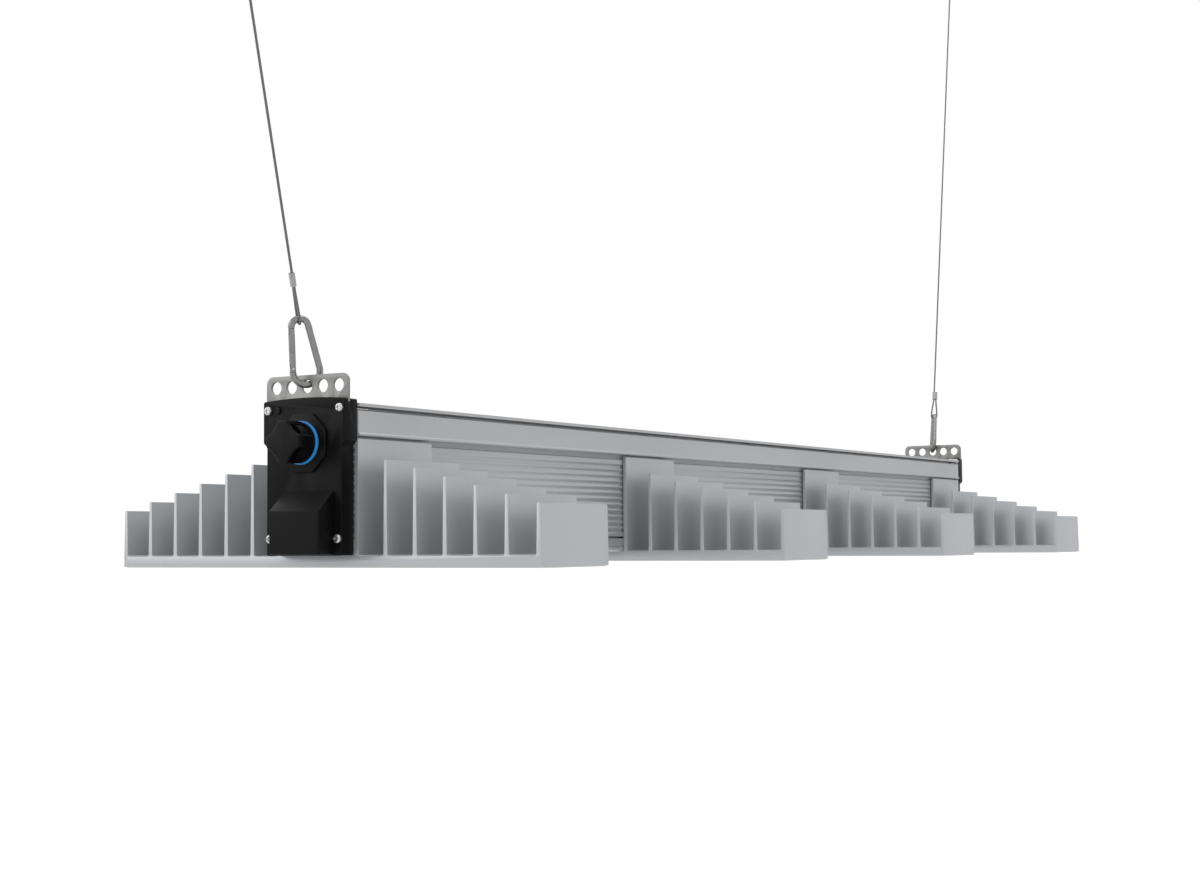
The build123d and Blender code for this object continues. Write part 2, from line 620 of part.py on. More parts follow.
def driver_parts():
    """The driver's tray, cover, board, components and mounting blocks, and the terminal block on top."""
    half = DRIVER_LENGTH / 2
    tray = box(-half, half, -DRIVER_HALF, DRIVER_HALF, DRIVER_BOTTOM, DRIVER_TOP)
    tray -= box(-half + DRIVER_WALL, half - DRIVER_WALL, -DRIVER_HALF + DRIVER_WALL, DRIVER_HALF - DRIVER_WALL,
                DRIVER_BOTTOM + DRIVER_WALL, DRIVER_TOP + 1)
    cover = box(-half, half, -DRIVER_HALF, DRIVER_HALF, DRIVER_TOP, DRIVER_TOP + DRIVER_WALL)
    board_low = DRIVER_BOTTOM + DRIVER_WALL
    board = box(-half + 6, half - 6, -DRIVER_HALF + 3, DRIVER_HALF - 3, board_low, board_low + 1.6)
    on_board = board_low + 1.6
    components = [box(x - 16, x + 16, -12, 12, on_board, on_board + 28) for x in (-120, 0, 120)]
    components += [rod_z(9, x, 0, on_board, on_board + 34) for x in (-220, -190, 60, 190, 220)]
    components += [box(x - 25, x + 25, 13, 16, on_board, on_board + 24) for x in (-60, 180)]
    mounts = [box(x - DRIVER_MOUNT_HALF, x + DRIVER_MOUNT_HALF, side * 12, side * 20, FLOOR_WALL, DRIVER_BOTTOM)
              for x in (-DRIVER_MOUNT_X, DRIVER_MOUNT_X) for side in (-1, 1)]
    block_low = DRIVER_TOP + DRIVER_WALL
    block = box(-half + 4, -half + 22, -10, 10, block_low, SOCKET_LEVEL + 6.5)
    return tray, cover, board, components, mounts, block


def wiring():
    """The wiring strip on the beam's floor, its short upright leads, and the supply wires from the socket."""
    reach = MODULE_X[-1] + 12
    strip = box(-reach, reach, -STRIP_HALF, STRIP_HALF, FLOOR_WALL, FLOOR_WALL + STRIP_THICKNESS)
    leads = [rod_z(WIRE_LEAD_R, x + dx, 0, -BASE_THICKNESS, FLOOR_WALL) for x in MODULE_X for dx in (-1.9, 1.9)]
    top = FLOOR_WALL + STRIP_THICKNESS
    leads += [rod_z(WIRE_LEAD_R, dx, 0, top, DRIVER_BOTTOM) for dx in (-3, 3)]
    start = -(END_X + CAP_DEPTH) - FLANGE_THICKNESS + REAR_LENGTH + 3
    supply = [rod_x(SUPPLY_WIRE_R, start, -DRIVER_LENGTH / 2 + 4, y, z) for y, z in pin_places()]
    sleeves = [rod_z(5.0, x, 0, -BASE_THICKNESS, FLOOR_WALL) - rod_z(3.6, x, 0, -BASE_THICKNESS, FLOOR_WALL)
               for x in MODULE_X]
    return strip, leads, supply, sleeves


# ---------------------------------------------------------------- snap hooks

def hook_legs():
    """Where the straight legs leave the wide bend and meet the crown bend, gate side first."""
    tilt = math.asin((HOOK_WIDE_R - HOOK_CROWN_R) / HOOK_CENTRES)
    legs = []
    for side in (-1, 1):
        out = Vector(side * math.cos(tilt), 0, math.sin(tilt))
        low = Vector(0, 0, HOOK_WIDE_R) + out * HOOK_WIDE_R
        high = Vector(0, 0, HOOK_WIDE_R + HOOK_CENTRES) + out * HOOK_CROWN_R
        legs.append((low, high))
    return legs


def snap_hook():
    """One snap hook at rest: wire body, gate, gate pin and gate spring.

    The hook stands in the X-Z plane, with the wide bend's lowest wire centre at the origin and the gate on
    the -X side.
    """
    (gate_low, gate_high), (back_low, back_high) = hook_legs()
    along = (gate_high - gate_low).normalized()
    lean = Rot(0, math.degrees(math.atan2(along.X, along.Z)), 0)
    pivot = gate_low + along * PIVOT_UP
    nose = gate_high - along * NOSE_DOWN
    crown_top = Vector(0, 0, HOOK_WIDE_R + HOOK_CENTRES + HOOK_CROWN_R)
    wide = ThreePointArc(gate_low, (0, 0, 0), back_low)
    crown = ThreePointArc(back_high, crown_top, gate_high)
    path = Wire([wide, Line(back_low, back_high), crown])
    body = sweep(Plane(path @ 0, z_dir=path % 0) * Circle(WIRE_R), path=path)
    width = 2 * WIRE_R - 0.6
    tongue_low = Pos(*(pivot - along * 0.6)) * lean * Box(width, TONGUE, 4.0)
    tongue_high = Pos(*(nose + along * 0.6)) * lean * Box(width, TONGUE, 3.4)
    pin_line = Pos(*pivot) * Rot(90, 0, 0)
    body += [tongue_low, tongue_high]
    body -= pin_line * Cylinder(GATE_PIN_R, 3 * WIRE_R)
    span = (gate_high - gate_low).length
    gate_middle = gate_low + along * ((span + GATE_GAP - NOSE_GAP) / 2)
    gate = Pos(*gate_middle) * lean * Cylinder(WIRE_R - 0.1, span - GATE_GAP - NOSE_GAP)
    gate -= Pos(*(gate_low + along * (PIVOT_UP / 2))) * lean * Box(9, GATE_SLOT, PIVOT_UP + 4.4)
    gate -= Pos(*(gate_high - along * (NOSE_DOWN / 2))) * lean * Box(9, GATE_SLOT, NOSE_DOWN + 4.0)
    middle = Pos(*(gate_low + along * (span / 2 + 0.2))) * lean
    gate -= middle * Cylinder(SPRING_R + 0.05, 11)
    gate -= pin_line * Cylinder(GATE_PIN_R + GATE_PIN_FIT, 3 * WIRE_R)
    pin = pin_line * Cylinder(GATE_PIN_R, 2 * WIRE_R - 0.4)
    spring = middle * (Cylinder(SPRING_R, 10) - Cylinder(SPRING_R - 0.45, 10))
    return body, gate, pin, spring


# ---------------------------------------------------------------- wire ropes

def end_frame(end):
    """Rope direction, hook plane's normal and hook places for one end."""
    pull = Vector(end * ROPE_LEAN_OUT, end * ROPE_LEAN_SIDE, 1).normalized()
    yaw = math.radians(NEAR_HOOK_YAW if end < 0 else FAR_HOOK_YAW)
    level = Vector(math.cos(yaw), math.sin(yaw), 0)
    normal = pull.cross(level).normalized()
    seat = Vector(end * SEAT_X, 0, WIRE_LEVEL)
    crown = seat + pull * (HOOK_WIDE_R + HOOK_CENTRES + HOOK_CROWN_R)
    return pull, normal, seat, crown


def hook_places(end):
    """The lower and upper hooks' locations. The upper one hangs the other way up."""
    pull, normal, seat, crown = end_frame(end)
    far_crown = crown + pull * ROPE_SPAN
    top = far_crown + pull * (HOOK_WIDE_R + HOOK_CENTRES + HOOK_CROWN_R)
    lower = Location(Plane(origin=seat, x_dir=normal.cross(pull), z_dir=pull))
    upper = Location(Plane(origin=top, x_dir=pull.cross(normal), z_dir=pull * -1))
    return lower, upper


def eye_points(crown, pull, normal):
    """One eye's route round a hook's crown: dead end in the ferrule, round the wire and back to its mouth."""
    loop_r = WIRE_R + EYE_CLEARANCE + ROPE_R
    leg = ROPE_R + LEG_GAP / 2
    reach = math.hypot(leg, EYE_LENGTH)
    lean = math.asin(loop_r / reach) - math.asin(leg / reach)
    turn = (math.pi + 2 * lean) / EYE_CORNERS
    corner_r = loop_r / math.cos(turn / 2)
    points = [(leg, EYE_LENGTH + FERRULE_LENGTH), (leg, EYE_LENGTH)]
    for i in range(EYE_CORNERS):
        angle = lean - (i + 0.5) * turn
        points.append((corner_r * math.cos(angle), corner_r * math.sin(angle)))
    points.append((-leg, EYE_LENGTH))
    return [crown + normal * a + pull * b for a, b in points]


def rope_route(end):
    """All points of one rope, from the dead end of its lower eye to the dead end of its upper eye."""
    pull, normal, seat, crown = end_frame(end)
    lower = eye_points(crown, pull, normal)
    upper = eye_points(crown + pull * ROPE_SPAN, pull * -1, normal)
    return lower + upper[::-1]


def corner_radii(points):
    """An arc for each corner of a rope's route, as large as its two runs allow."""
    radii = []
    for before, here, after in zip(points, points[1:], points[2:]):
        a, b = here - before, after - here
        turn = math.radians(a.get_angle(b))
        radii.append(0.45 * min(a.length, b.length) / math.tan(turn / 2))
    return radii


def rope(end):
    """One wire rope as a tube on straight runs joined by tangent arcs, with its real length."""
    points = rope_route(end)
    radii = corner_radii(points)
    edges = []
    start = points[0]
    for before, here, after, radius in zip(points, points[1:], points[2:], radii):
        a, b = (here - before).normalized(), (after - here).normalized()
        half = math.radians(a.get_angle(b)) / 2
        first = here - a * (radius * math.tan(half))
        last = here + b * (radius * math.tan(half))
        inward = (b - a).normalized()
        middle = here + inward * (radius / math.cos(half) - radius)
        edges += [Line(start, first), ThreePointArc(first, middle, last)]
        start = last
    edges.append(Line(start, points[-1]))
    path = Wire(edges)
    tube = sweep(Plane(path @ 0, z_dir=path % 0) * Circle(ROPE_R), path=path)
    section = math.pi * ROPE_R ** 2
    print(f"rope {end:+d}: length {path.length:.1f}, volume over section {tube.volume / section:.1f}, "
          f"radii {min(radii):.1f} to {max(radii):.1f}")
    return tube


def ferrules(end, tube):
    """The two sleeves pressed round one rope to close its eyes."""
    pull, normal, seat, crown = end_frame(end)
    leg = ROPE_R + LEG_GAP / 2
    outer_r = ROPE_R + FERRULE_WALL
    made = []
    for centre, way in ((crown, pull), (crown + pull * ROPE_SPAN, pull * -1)):
        base = Plane(origin=centre + way * EYE_LENGTH, x_dir=normal, z_dir=way)
        sleeve = extrude(base * SlotCenterToCenter(2 * leg, 2 * outer_r), FERRULE_LENGTH)
        made.append(sleeve - tube)
    return made


# ---------------------------------------------------------------- build

def main():
    outline = heat_sink_outline()
    for i, x in enumerate(MODULE_X, 1):
        export(f"heat_sink_{i}", heat_sink(outline, x))
        export(f"light_cover_{i}", light_cover(x))
    export("led_boards", *[led_board(x) for x in MODULE_X])
    export("led_chips", *[chip for x in MODULE_X for chip in led_chips(x)])
    export("light_cover_gaskets", *[cover_gasket(x) for x in MODULE_X])
    export("light_cover_screws", *[screw for x in MODULE_X for screw in cover_screws(x)])
    export("heat_sink_screws", *[screw for x in MODULE_X for screw in sink_screws(x)])

    export("beam", beam())
    for end, name in ((-1, "near"), (1, "far")):
        export(f"end_cap_{name}", end_cap(end, end < 0))
        export(f"hanger_plate_{name}", hanger_plate(end))
    export("end_gaskets", *[end_gasket(end) for end in (-1, 1)])
    export("end_cap_screws", *[end_cap_screw(end, y, z) for end in (-1, 1) for y, z in screw_places()])
    export("hanger_spacers", *[hanger_spacer(end, side) for end in (-1, 1) for side in (-1, 1)])
    export("hanger_screws", *[hanger_screw(end, side) for end in (-1, 1) for side in (-1, 1)])

    pins, nut, seal, cap = socket_parts()
    export("socket_body", socket_body())
    export("socket_pins", *pins)
    export("socket_nut", nut)
    export("socket_seal_ring", seal)
    export("socket_screw_cap", cap)
    export("cable_hood", cable_hood())
    export("vent_plug", vent_plug())

    tray, cover, board, components, mounts, block = driver_parts()
    export("driver_tray", tray)
    export("driver_cover", cover)
    export("driver_board", board)
    export("driver_components", *components)
    export("driver_mounts", *mounts)
    export("terminal_block", block)
    strip, leads, supply, sleeves = wiring()
    export("wiring_strip", strip)
    export("module_leads", *leads)
    export("supply_wires", *supply)
    export("lead_sleeves", *sleeves)

    for end, name in ((-1, "near"), (1, "far")):
        for place, level in zip(hook_places(end), ("lower", "upper")):
            body, gate, pin, spring = [place * piece for piece in snap_hook()]
            export(f"{level}_hook_{name}", body)
            export(f"{level}_gate_{name}", gate)
            export(f"{level}_gate_pin_{name}", pin)
            export(f"{level}_gate_spring_{name}", spring)
        tube = rope(end)
        export(f"rope_{name}", tube)
        export(f"rope_ferrules_{name}", *ferrules(end, tube))


main()
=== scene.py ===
"""LED grow light: the finished look of a ribbed beam with four finned light modules on two wire ropes.

Metres. +X runs along the beam from the socket end, +Z is up, and the origin lies midway between the hanger
plates, level with their holes.
"""

import json
import math

import bmesh
import bpy
from bpy.props import FloatProperty, FloatVectorProperty, IntProperty, PointerProperty
from mathutils import Matrix, Vector


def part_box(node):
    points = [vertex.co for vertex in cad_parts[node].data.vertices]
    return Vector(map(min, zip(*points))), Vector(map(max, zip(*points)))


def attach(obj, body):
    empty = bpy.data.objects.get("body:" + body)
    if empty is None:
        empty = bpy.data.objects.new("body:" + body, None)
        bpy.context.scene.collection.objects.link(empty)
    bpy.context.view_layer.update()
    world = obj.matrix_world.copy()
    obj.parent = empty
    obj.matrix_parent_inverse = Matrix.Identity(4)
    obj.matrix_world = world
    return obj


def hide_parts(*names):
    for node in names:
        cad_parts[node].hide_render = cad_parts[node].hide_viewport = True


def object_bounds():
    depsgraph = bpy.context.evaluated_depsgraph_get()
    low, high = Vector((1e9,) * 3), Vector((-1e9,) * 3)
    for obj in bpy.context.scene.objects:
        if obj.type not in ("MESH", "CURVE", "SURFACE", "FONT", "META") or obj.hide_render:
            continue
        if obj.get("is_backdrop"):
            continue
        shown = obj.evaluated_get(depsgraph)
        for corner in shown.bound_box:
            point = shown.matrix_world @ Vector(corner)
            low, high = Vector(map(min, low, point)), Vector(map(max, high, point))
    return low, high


bl_info = {
    "name": "LED grow light",
    "version": (1, 0, 0),
    "blender": (4, 5, 0),
    "location": "View3D > Sidebar > Grow light",
    "description": "Finishes, ropes, LEDs and stage of a hanging LED grow light",
    "category": "Object",
}

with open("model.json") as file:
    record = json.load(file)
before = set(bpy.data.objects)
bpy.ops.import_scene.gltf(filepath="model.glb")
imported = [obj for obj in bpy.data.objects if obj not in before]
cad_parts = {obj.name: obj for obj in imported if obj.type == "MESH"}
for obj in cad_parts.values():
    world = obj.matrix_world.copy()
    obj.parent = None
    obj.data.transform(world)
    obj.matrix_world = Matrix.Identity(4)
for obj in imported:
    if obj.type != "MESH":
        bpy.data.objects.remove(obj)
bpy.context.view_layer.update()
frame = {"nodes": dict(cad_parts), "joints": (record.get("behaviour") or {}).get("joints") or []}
NODES = frame["nodes"]
JOINTS = {joint["name"]: joint for joint in frame["joints"]}
MM = 0.001

# Sizes that aren't offered in the panel
BEAM_EDGE = 0.18 * MM          # rounding of the beam's small ribs
LED_CHIP = 3.5 * MM            # side of one LED
LED_BODY_HEIGHT = 0.6 * MM
LED_DOME_DROP = 0.38 * MM      # from the LED's middle down to its dome's
LED_DOME_SQUASH = 0.22         # dome's height as a share of a ball's
LED_INSET_X = 25 * MM          # cover's width beyond the outer LED columns, both sides
LED_INSET_Y = 12 * MM          # board's length beyond the outer LED rows, both ends
LED_GLOW = 9 * MM              # radius of the soft spot that one LED throws
COVER_RIM = 6 * MM             # width of the cover's dimmer rim
COVER_FLAT = -0.8              # a normal's Z above this belongs to the cover's side walls
THREAD_RADIUS = 10.2 * MM
THREAD_RIDGE = 0.26 * MM
THREAD_LENGTH = 8 * MM
THREAD_START = 9.3 * MM        # from the barrel's mouth
SPRING_RADIUS = 0.78 * MM
SPRING_WIRE = 0.2 * MM
ROPE_STEP = 0.8 * MM           # between two points of the rope's centre line
EYE_LEG_GAP = 0.05 * MM        # half the gap between the eye's legs
EYE_WIRE_GAP = 0.35 * MM       # between the rope and the hook's wire
EYE_CORNERS = 4                # control points round the hook's wire
EYE_LEAD = 12                  # straight lead into the ferrule, in rope radii
SENSOR_WIDTH = 36              # mm
FLOOR_HALF = 30                # half of the floor's side, m
LIGHTS = (                     # name, place, aim, width, power
    ("overhead", (0.0, -0.2, 1.6), (0, 0, 0), 1.6, 14.0),
    ("left", (-1.6, 1.2, 0.6), (-0.3, 0, 0), 1.0, 6.0))


def middle_of(node_name):
    """The middle of a CAD node's box."""
    low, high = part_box(node_name)
    return (low + high) / 2


# ---------------------------------------------------------------- settings

class FinishSettings(bpy.types.PropertyGroup):
    """Colours of the lamp's surfaces."""

    sink_colour: FloatVectorProperty(
        name="Heat sink", description="Satin anodised aluminium of the finned heat sinks",
        subtype="COLOR", size=3, min=0, max=1, default=(0.405, 0.418, 0.435))
    beam_colour: FloatVectorProperty(
        name="Beam", description="Satin anodised aluminium of the ribbed beam",
        subtype="COLOR", size=3, min=0, max=1, default=(0.385, 0.39, 0.398))
    plastic_colour: FloatVectorProperty(
        name="End caps", description="Black moulded plastic of caps, hood and socket",
        subtype="COLOR", size=3, min=0, max=1, default=(0.0035, 0.0035, 0.004))
    seal_colour: FloatVectorProperty(
        name="Seal ring", description="Blue rubber of the socket's seal ring",
        subtype="COLOR", size=3, min=0, max=1, default=(0.012, 0.22, 0.56))
    steel_colour: FloatVectorProperty(
        name="Steel", description="Zinc-plated steel of hooks and screws",
        subtype="COLOR", size=3, min=0, max=1, default=(0.50, 0.50, 0.49))
    light_colour: FloatVectorProperty(
        name="Light", description="Colour of the lit covers",
        subtype="COLOR", size=3, min=0, max=1, default=(1.0, 0.985, 0.96))


class SizeSettings(bpy.types.PropertyGroup):
    """Sizes of the pieces that are made here."""

    edge: FloatProperty(
        name="Edge rounding", description="Rounding along the edges of plates and mouldings",
        unit="LENGTH", min=0, default=0.0004, precision=5)
    rope_radius: FloatProperty(
        name="Rope radius", description="Outer radius of the wire rope",
        unit="LENGTH", min=0, default=0.0008, precision=5)
    rope_lay: FloatProperty(
        name="Rope lay", description="Length of one full turn of a strand",
        unit="LENGTH", min=0, default=0.0105, precision=5)
    rope_strands: IntProperty(
        name="Strands", description="Strands laid round the rope's core", min=3, default=6)
    eye_length: FloatProperty(
        name="Eye length", description="From the hook's wire centre to the ferrule's mouth",
        unit="LENGTH", min=0, default=0.0182, precision=5)
    ferrule_length: FloatProperty(
        name="Ferrule length", description="Length of the pressed sleeve",
        unit="LENGTH", min=0, default=0.0076, precision=5)
    hook_wire: FloatProperty(
        name="Hook wire radius", description="Radius of the snap hook's wire",
        unit="LENGTH", min=0, default=0.0019, precision=5)
    thread_pitch: FloatProperty(
        name="Thread pitch", description="Pitch of the ridge on the socket's barrel",
        unit="LENGTH", min=0, default=0.002, precision=5)
    spring_turns: FloatProperty(
        name="Spring turns", description="Turns of a gate spring", min=1, default=11.0)
    led_columns: IntProperty(name="LED columns", description="LEDs across one module", min=1, default=3)
    led_rows: IntProperty(name="LED rows", description="LEDs along one module", min=1, default=20)


class StageSettings(bpy.types.PropertyGroup):
    """Floor, light and camera."""

    floor_drop: FloatProperty(
        name="Floor drop", description="Distance from the lamp down to the floor",
        unit="LENGTH", min=0, default=2.2)
    camera_place: FloatVectorProperty(
        name="Camera place", description="Where the camera stands",
        subtype="TRANSLATION", unit="LENGTH", size=3, default=(-1.2863, -0.6699, -0.0876))
    camera_azimuth: FloatProperty(
        name="Azimuth", description="Camera's turn away from looking along +Y",
        subtype="ANGLE", default=math.radians(-59.06))
    camera_pitch: FloatProperty(
        name="Pitch", description="Camera's tilt above the horizon",
        subtype="ANGLE", default=math.radians(3.088))
    camera_roll: FloatProperty(
        name="Roll", description="Camera's turn about its own line of sight",
        subtype="ANGLE", default=math.radians(-0.433))
    lens: FloatProperty(
        name="Lens", description="Focal length on a 36 mm wide sensor", min=1, default=55.33)


def settings():
    """The scene's three groups of settings."""
    scene = bpy.context.scene
    return scene.lamp_finish, scene.lamp_size, scene.lamp_stage


# ---------------------------------------------------------------- node helpers

def feed(tree, socket, value):
    """Link a socket into an input, or give the input a plain value."""
    if isinstance(value, bpy.types.NodeSocket):
        tree.links.new(value, socket)
    else:
        socket.default_value = value


def add(tree, kind, **values):
    """Add a node. Values are properties of the node, or sockets or values for its named inputs."""
    node = tree.nodes.new(kind)
    for key, value in values.items():
        if hasattr(node, key):
            setattr(node, key, value)
        else:
            feed(tree, node.inputs[key.replace("_", " ")], value)
    return node


def join(tree, out, into):
    """Link an output socket to an input socket."""
    tree.links.new(out, into)


def math_node(tree, operation, a, b=None, clamp=False):
    """A math node on sockets or numbers. Returns its output."""
    node = tree.nodes.new("ShaderNodeMath")
    node.operation = operation
    node.use_clamp = clamp
    for socket, value in zip(node.inputs, (a, b)):
        if value is not None:
            feed(tree, socket, value)
    return node.outputs[0]


def colour_mix(tree, factor, a, b):
    """A colour mix on sockets or colours. Returns its output."""
    node = tree.nodes.new("ShaderNodeMix")
    node.data_type = "RGBA"
    feed(tree, node.inputs[0], factor)
    for socket, value in ((node.inputs[6], a), (node.inputs[7], b)):
        feed(tree, socket, (*value, 1) if isinstance(value, (tuple, list)) else value)
    return node.outputs[2]


def new_group(name, inputs, outputs):
    """An empty shader node group with the given sockets and its two end nodes."""
    group = bpy.data.node_groups.new(name, "ShaderNodeTree")
    for label, kind, value in inputs:
        socket = group.interface.new_socket(label, in_out="INPUT", socket_type=kind)
        socket.default_value = value
    for label, kind in outputs:
        group.interface.new_socket(label, in_out="OUTPUT", socket_type=kind)
    start = group.nodes.new("NodeGroupInput")
    end = group.nodes.new("NodeGroupOutput")
    return group, start.outputs, end.inputs


def use_group(tree, group, **values):
    """Place a group in a material. Values are defaults or sockets for its inputs."""
    node = tree.nodes.new("ShaderNodeGroup")
    node.node_tree = group
    for key, value in values.items():
        feed(tree, node.inputs[key.replace("_", " ")], value)
    return node.outputs


# ---------------------------------------------------------------- shared shader groups

def extrusion_group():
    """Fine lines drawn along X by the die, with broad, faint clouding of the anodised skin."""
    group, start, end = new_group(
        "Extrusion lines",
        [("Line scale", "NodeSocketFloat", 900.0), ("Strength", "NodeSocketFloat", 0.1)],
        [("Shade", "NodeSocketFloat"), ("Height", "NodeSocketFloat")])
    place = add(group, "ShaderNodeTexCoord")
    stretch = add(group, "ShaderNodeMapping")
    stretch.inputs["Scale"].default_value = (0.012, 1, 1)
    join(group, place.outputs["Object"], stretch.inputs["Vector"])
    lines = add(group, "ShaderNodeTexNoise", Detail=3.0, Roughness=0.6)
    join(group, stretch.outputs[0], lines.inputs["Vector"])
    join(group, start["Line scale"], lines.inputs["Scale"])
    clouds = add(group, "ShaderNodeTexNoise", Vector=place.outputs["Object"], Scale=14.0, Detail=4.0)
    clouding = math_node(group, "MULTIPLY", math_node(group, "SUBTRACT", clouds.outputs["Fac"], 0.5), 0.7)
    both = math_node(group, "ADD", math_node(group, "SUBTRACT", lines.outputs["Fac"], 0.5), clouding)
    join(group, math_node(group, "MULTIPLY", both, start["Strength"]), end["Shade"])
    join(group, lines.outputs["Fac"], end["Height"])
    return group


def cut_face_group():
    """Mask of the sawn faces that look along X, with the saw's fine arcs."""
    group, start, end = new_group(
        "Sawn faces", [("Saw scale", "NodeSocketFloat", 700.0)],
        [("Mask", "NodeSocketFloat"), ("Marks", "NodeSocketFloat")])
    facing = add(group, "ShaderNodeNewGeometry")
    split = add(group, "ShaderNodeSeparateXYZ")
    join(group, facing.outputs["Normal"], split.inputs[0])
    along = math_node(group, "ABSOLUTE", split.outputs["X"])
    join(group, math_node(group, "GREATER_THAN", along, 0.9), end["Mask"])
    place = add(group, "ShaderNodeTexCoord")
    wave = add(group, "ShaderNodeTexWave", wave_type="RINGS", rings_direction="X", Distortion=3.0)
    wave.inputs["Detail"].default_value = 3.0
    move = add(group, "ShaderNodeMapping")
    move.inputs["Location"].default_value = (0, 0.4, 0.9)
    join(group, place.outputs["Object"], move.inputs["Vector"])
    join(group, move.outputs[0], wave.inputs["Vector"])
    join(group, start["Saw scale"], wave.inputs["Scale"])
    join(group, wave.outputs["Fac"], end["Marks"])
    return group


def dust_group():
    """Thin dust that settles on faces that look up, thicker in patches."""
    group, start, end = new_group(
        "Settled dust",
        [("Amount", "NodeSocketFloat", 0.3), ("Patch scale", "NodeSocketFloat", 60.0)],
        [("Mask", "NodeSocketFloat")])
    facing = add(group, "ShaderNodeNewGeometry")
    split = add(group, "ShaderNodeSeparateXYZ")
    join(group, facing.outputs["Normal"], split.inputs[0])
    upward = math_node(group, "POWER", math_node(group, "MAXIMUM", split.outputs["Z"], 0.0), 3.0)
    place = add(group, "ShaderNodeTexCoord")
    patch = add(group, "ShaderNodeTexNoise", Vector=place.outputs["Object"],
                Detail=6.0, Roughness=0.7, Scale=start["Patch scale"])
    patchy = math_node(group, "MULTIPLY", upward, patch.outputs["Fac"])
    join(group, math_node(group, "MULTIPLY", patchy, start["Amount"], clamp=True), end["Mask"])
    return group


def wear_group():
    """Rubbed patches and a fine grain, as on handled metal or scuffed plastic."""
    group, start, end = new_group(
        "Handling marks",
        [("Scale", "NodeSocketFloat", 120.0), ("Amount", "NodeSocketFloat", 0.3)],
        [("Mask", "NodeSocketFloat"), ("Grain", "NodeSocketFloat")])
    place = add(group, "ShaderNodeTexCoord")
    patch = add(group, "ShaderNodeTexNoise", Vector=place.outputs["Object"],
                Detail=8.0, Roughness=0.75, Scale=start["Scale"])
    grain = add(group, "ShaderNodeTexNoise", Vector=place.outputs["Object"], Scale=2600.0, Detail=2.0)
    above = math_node(group, "SUBTRACT", patch.outputs["Fac"], 0.52)
    above = math_node(group, "MULTIPLY", above, 5.0, clamp=True)
    join(group, math_node(group, "MULTIPLY", above, start["Amount"]), end["Mask"])
    join(group, grain.outputs["Fac"], end["Grain"])
    return group


def moulded_group():
    """The fine spark-eroded texture of moulded plastic."""
    group, start, end = new_group(
        "Moulded texture", [("Scale", "NodeSocketFloat", 2200.0)], [("Height", "NodeSocketFloat")])
    place = add(group, "ShaderNodeTexCoord")
    cells = add(group, "ShaderNodeTexVoronoi", Vector=place.outputs["Object"], Scale=start["Scale"])
    fine = add(group, "ShaderNodeTexNoise", Vector=place.outputs["Object"], Detail=3.0, Scale=start["Scale"])
    join(group, math_node(group, "ADD", cells.outputs["Distance"], fine.outputs["Fac"]), end["Height"])
    return group


GROUPS = {}


def shared(name):
    """The named shared group, built the first time that it is asked for."""
    makers = {"extrusion": extrusion_group, "sawn": cut_face_group, "dust": dust_group, "wear": wear_group,
              "moulded": moulded_group}
    if name not in GROUPS:
        GROUPS[name] = makers[name]()
    return GROUPS[name]


# ---------------------------------------------------------------- materials

def new_material(name, **values):
    """A material with its Principled shader. Values are constants on the shader's own sockets."""
    material = bpy.data.materials.new(name)
    material.use_nodes = True
    tree = material.node_tree
    shader = tree.nodes["Principled BSDF"]
    for key, value in values.items():
        shader.inputs[key.replace("_", " ")].default_value = value
    return material, tree, shader


def add_bump(tree, shader, height, distance, strength=1.0):
    """A bump node on the shader's normal."""
    bump = add(tree, "ShaderNodeBump", Strength=strength, Distance=distance)
    join(tree, height, bump.inputs["Height"])
    join(tree, bump.outputs["Normal"], shader.inputs["Normal"])


def anodised(name, colour, line_strength=0.16):
    """Satin anodised extrusion: drawn lines, clouding, a painted highlight that makes the sawn ends brighter,
    and a little dust.
    """
    material, tree, shader = new_material(name, Metallic=0.55)
    lines = use_group(tree, shared("extrusion"), Strength=line_strength)
    sawn = use_group(tree, shared("sawn"))
    dust = use_group(tree, shared("dust"), Amount=0.35)
    skin = colour_mix(tree, math_node(tree, "ADD", lines["Shade"], 0.5, clamp=True),
                      [c * 0.86 for c in colour], [min(1, c * 1.12) for c in colour])
    # Painted highlight: faces that look along X (the sawn ends) are painted lighter to stand for the bright
    # lines along the fin ends.
    sawn_highlight = [min(1, c * 1.05) for c in colour]
    faces = colour_mix(tree, math_node(tree, "MULTIPLY", sawn["Mask"], 0.75), skin, sawn_highlight)
    marks = math_node(tree, "MULTIPLY", math_node(tree, "MULTIPLY", sawn["Mask"], sawn["Marks"]), 0.25)
    faces = colour_mix(tree, marks, faces, [c * 0.8 for c in colour])
    dusty = colour_mix(tree, dust["Mask"], faces, (0.72, 0.71, 0.69))
    join(tree, dusty, shader.inputs["Base Color"])
    rough = math_node(tree, "ADD", math_node(tree, "MULTIPLY", lines["Shade"], 0.6), 0.46)
    join(tree, math_node(tree, "ADD", rough, dust["Mask"], clamp=True), shader.inputs["Roughness"])
    add_bump(tree, shader, lines["Height"], 0.00004, 0.5)
    return material


def plated_steel(name, colour, rough=0.34, wear=0.5):
    """Zinc-plated steel with handled patches and a fine grain."""
    material, tree, shader = new_material(name, Metallic=0.9)
    marks = use_group(tree, shared("wear"), Scale=260.0, Amount=wear)
    tint = colour_mix(tree, marks["Mask"], colour, [c * 0.55 for c in colour])
    tint = colour_mix(tree, math_node(tree, "MULTIPLY", marks["Grain"], 0.08), tint, (0.85, 0.85, 0.83))
    join(tree, tint, shader.inputs["Base Color"])
    change = math_node(tree, "MULTIPLY", marks["Mask"], 0.3)
    join(tree, math_node(tree, "ADD", change, rough), shader.inputs["Roughness"])
    add_bump(tree, shader, marks["Grain"], 0.00003, 0.6)
    return material


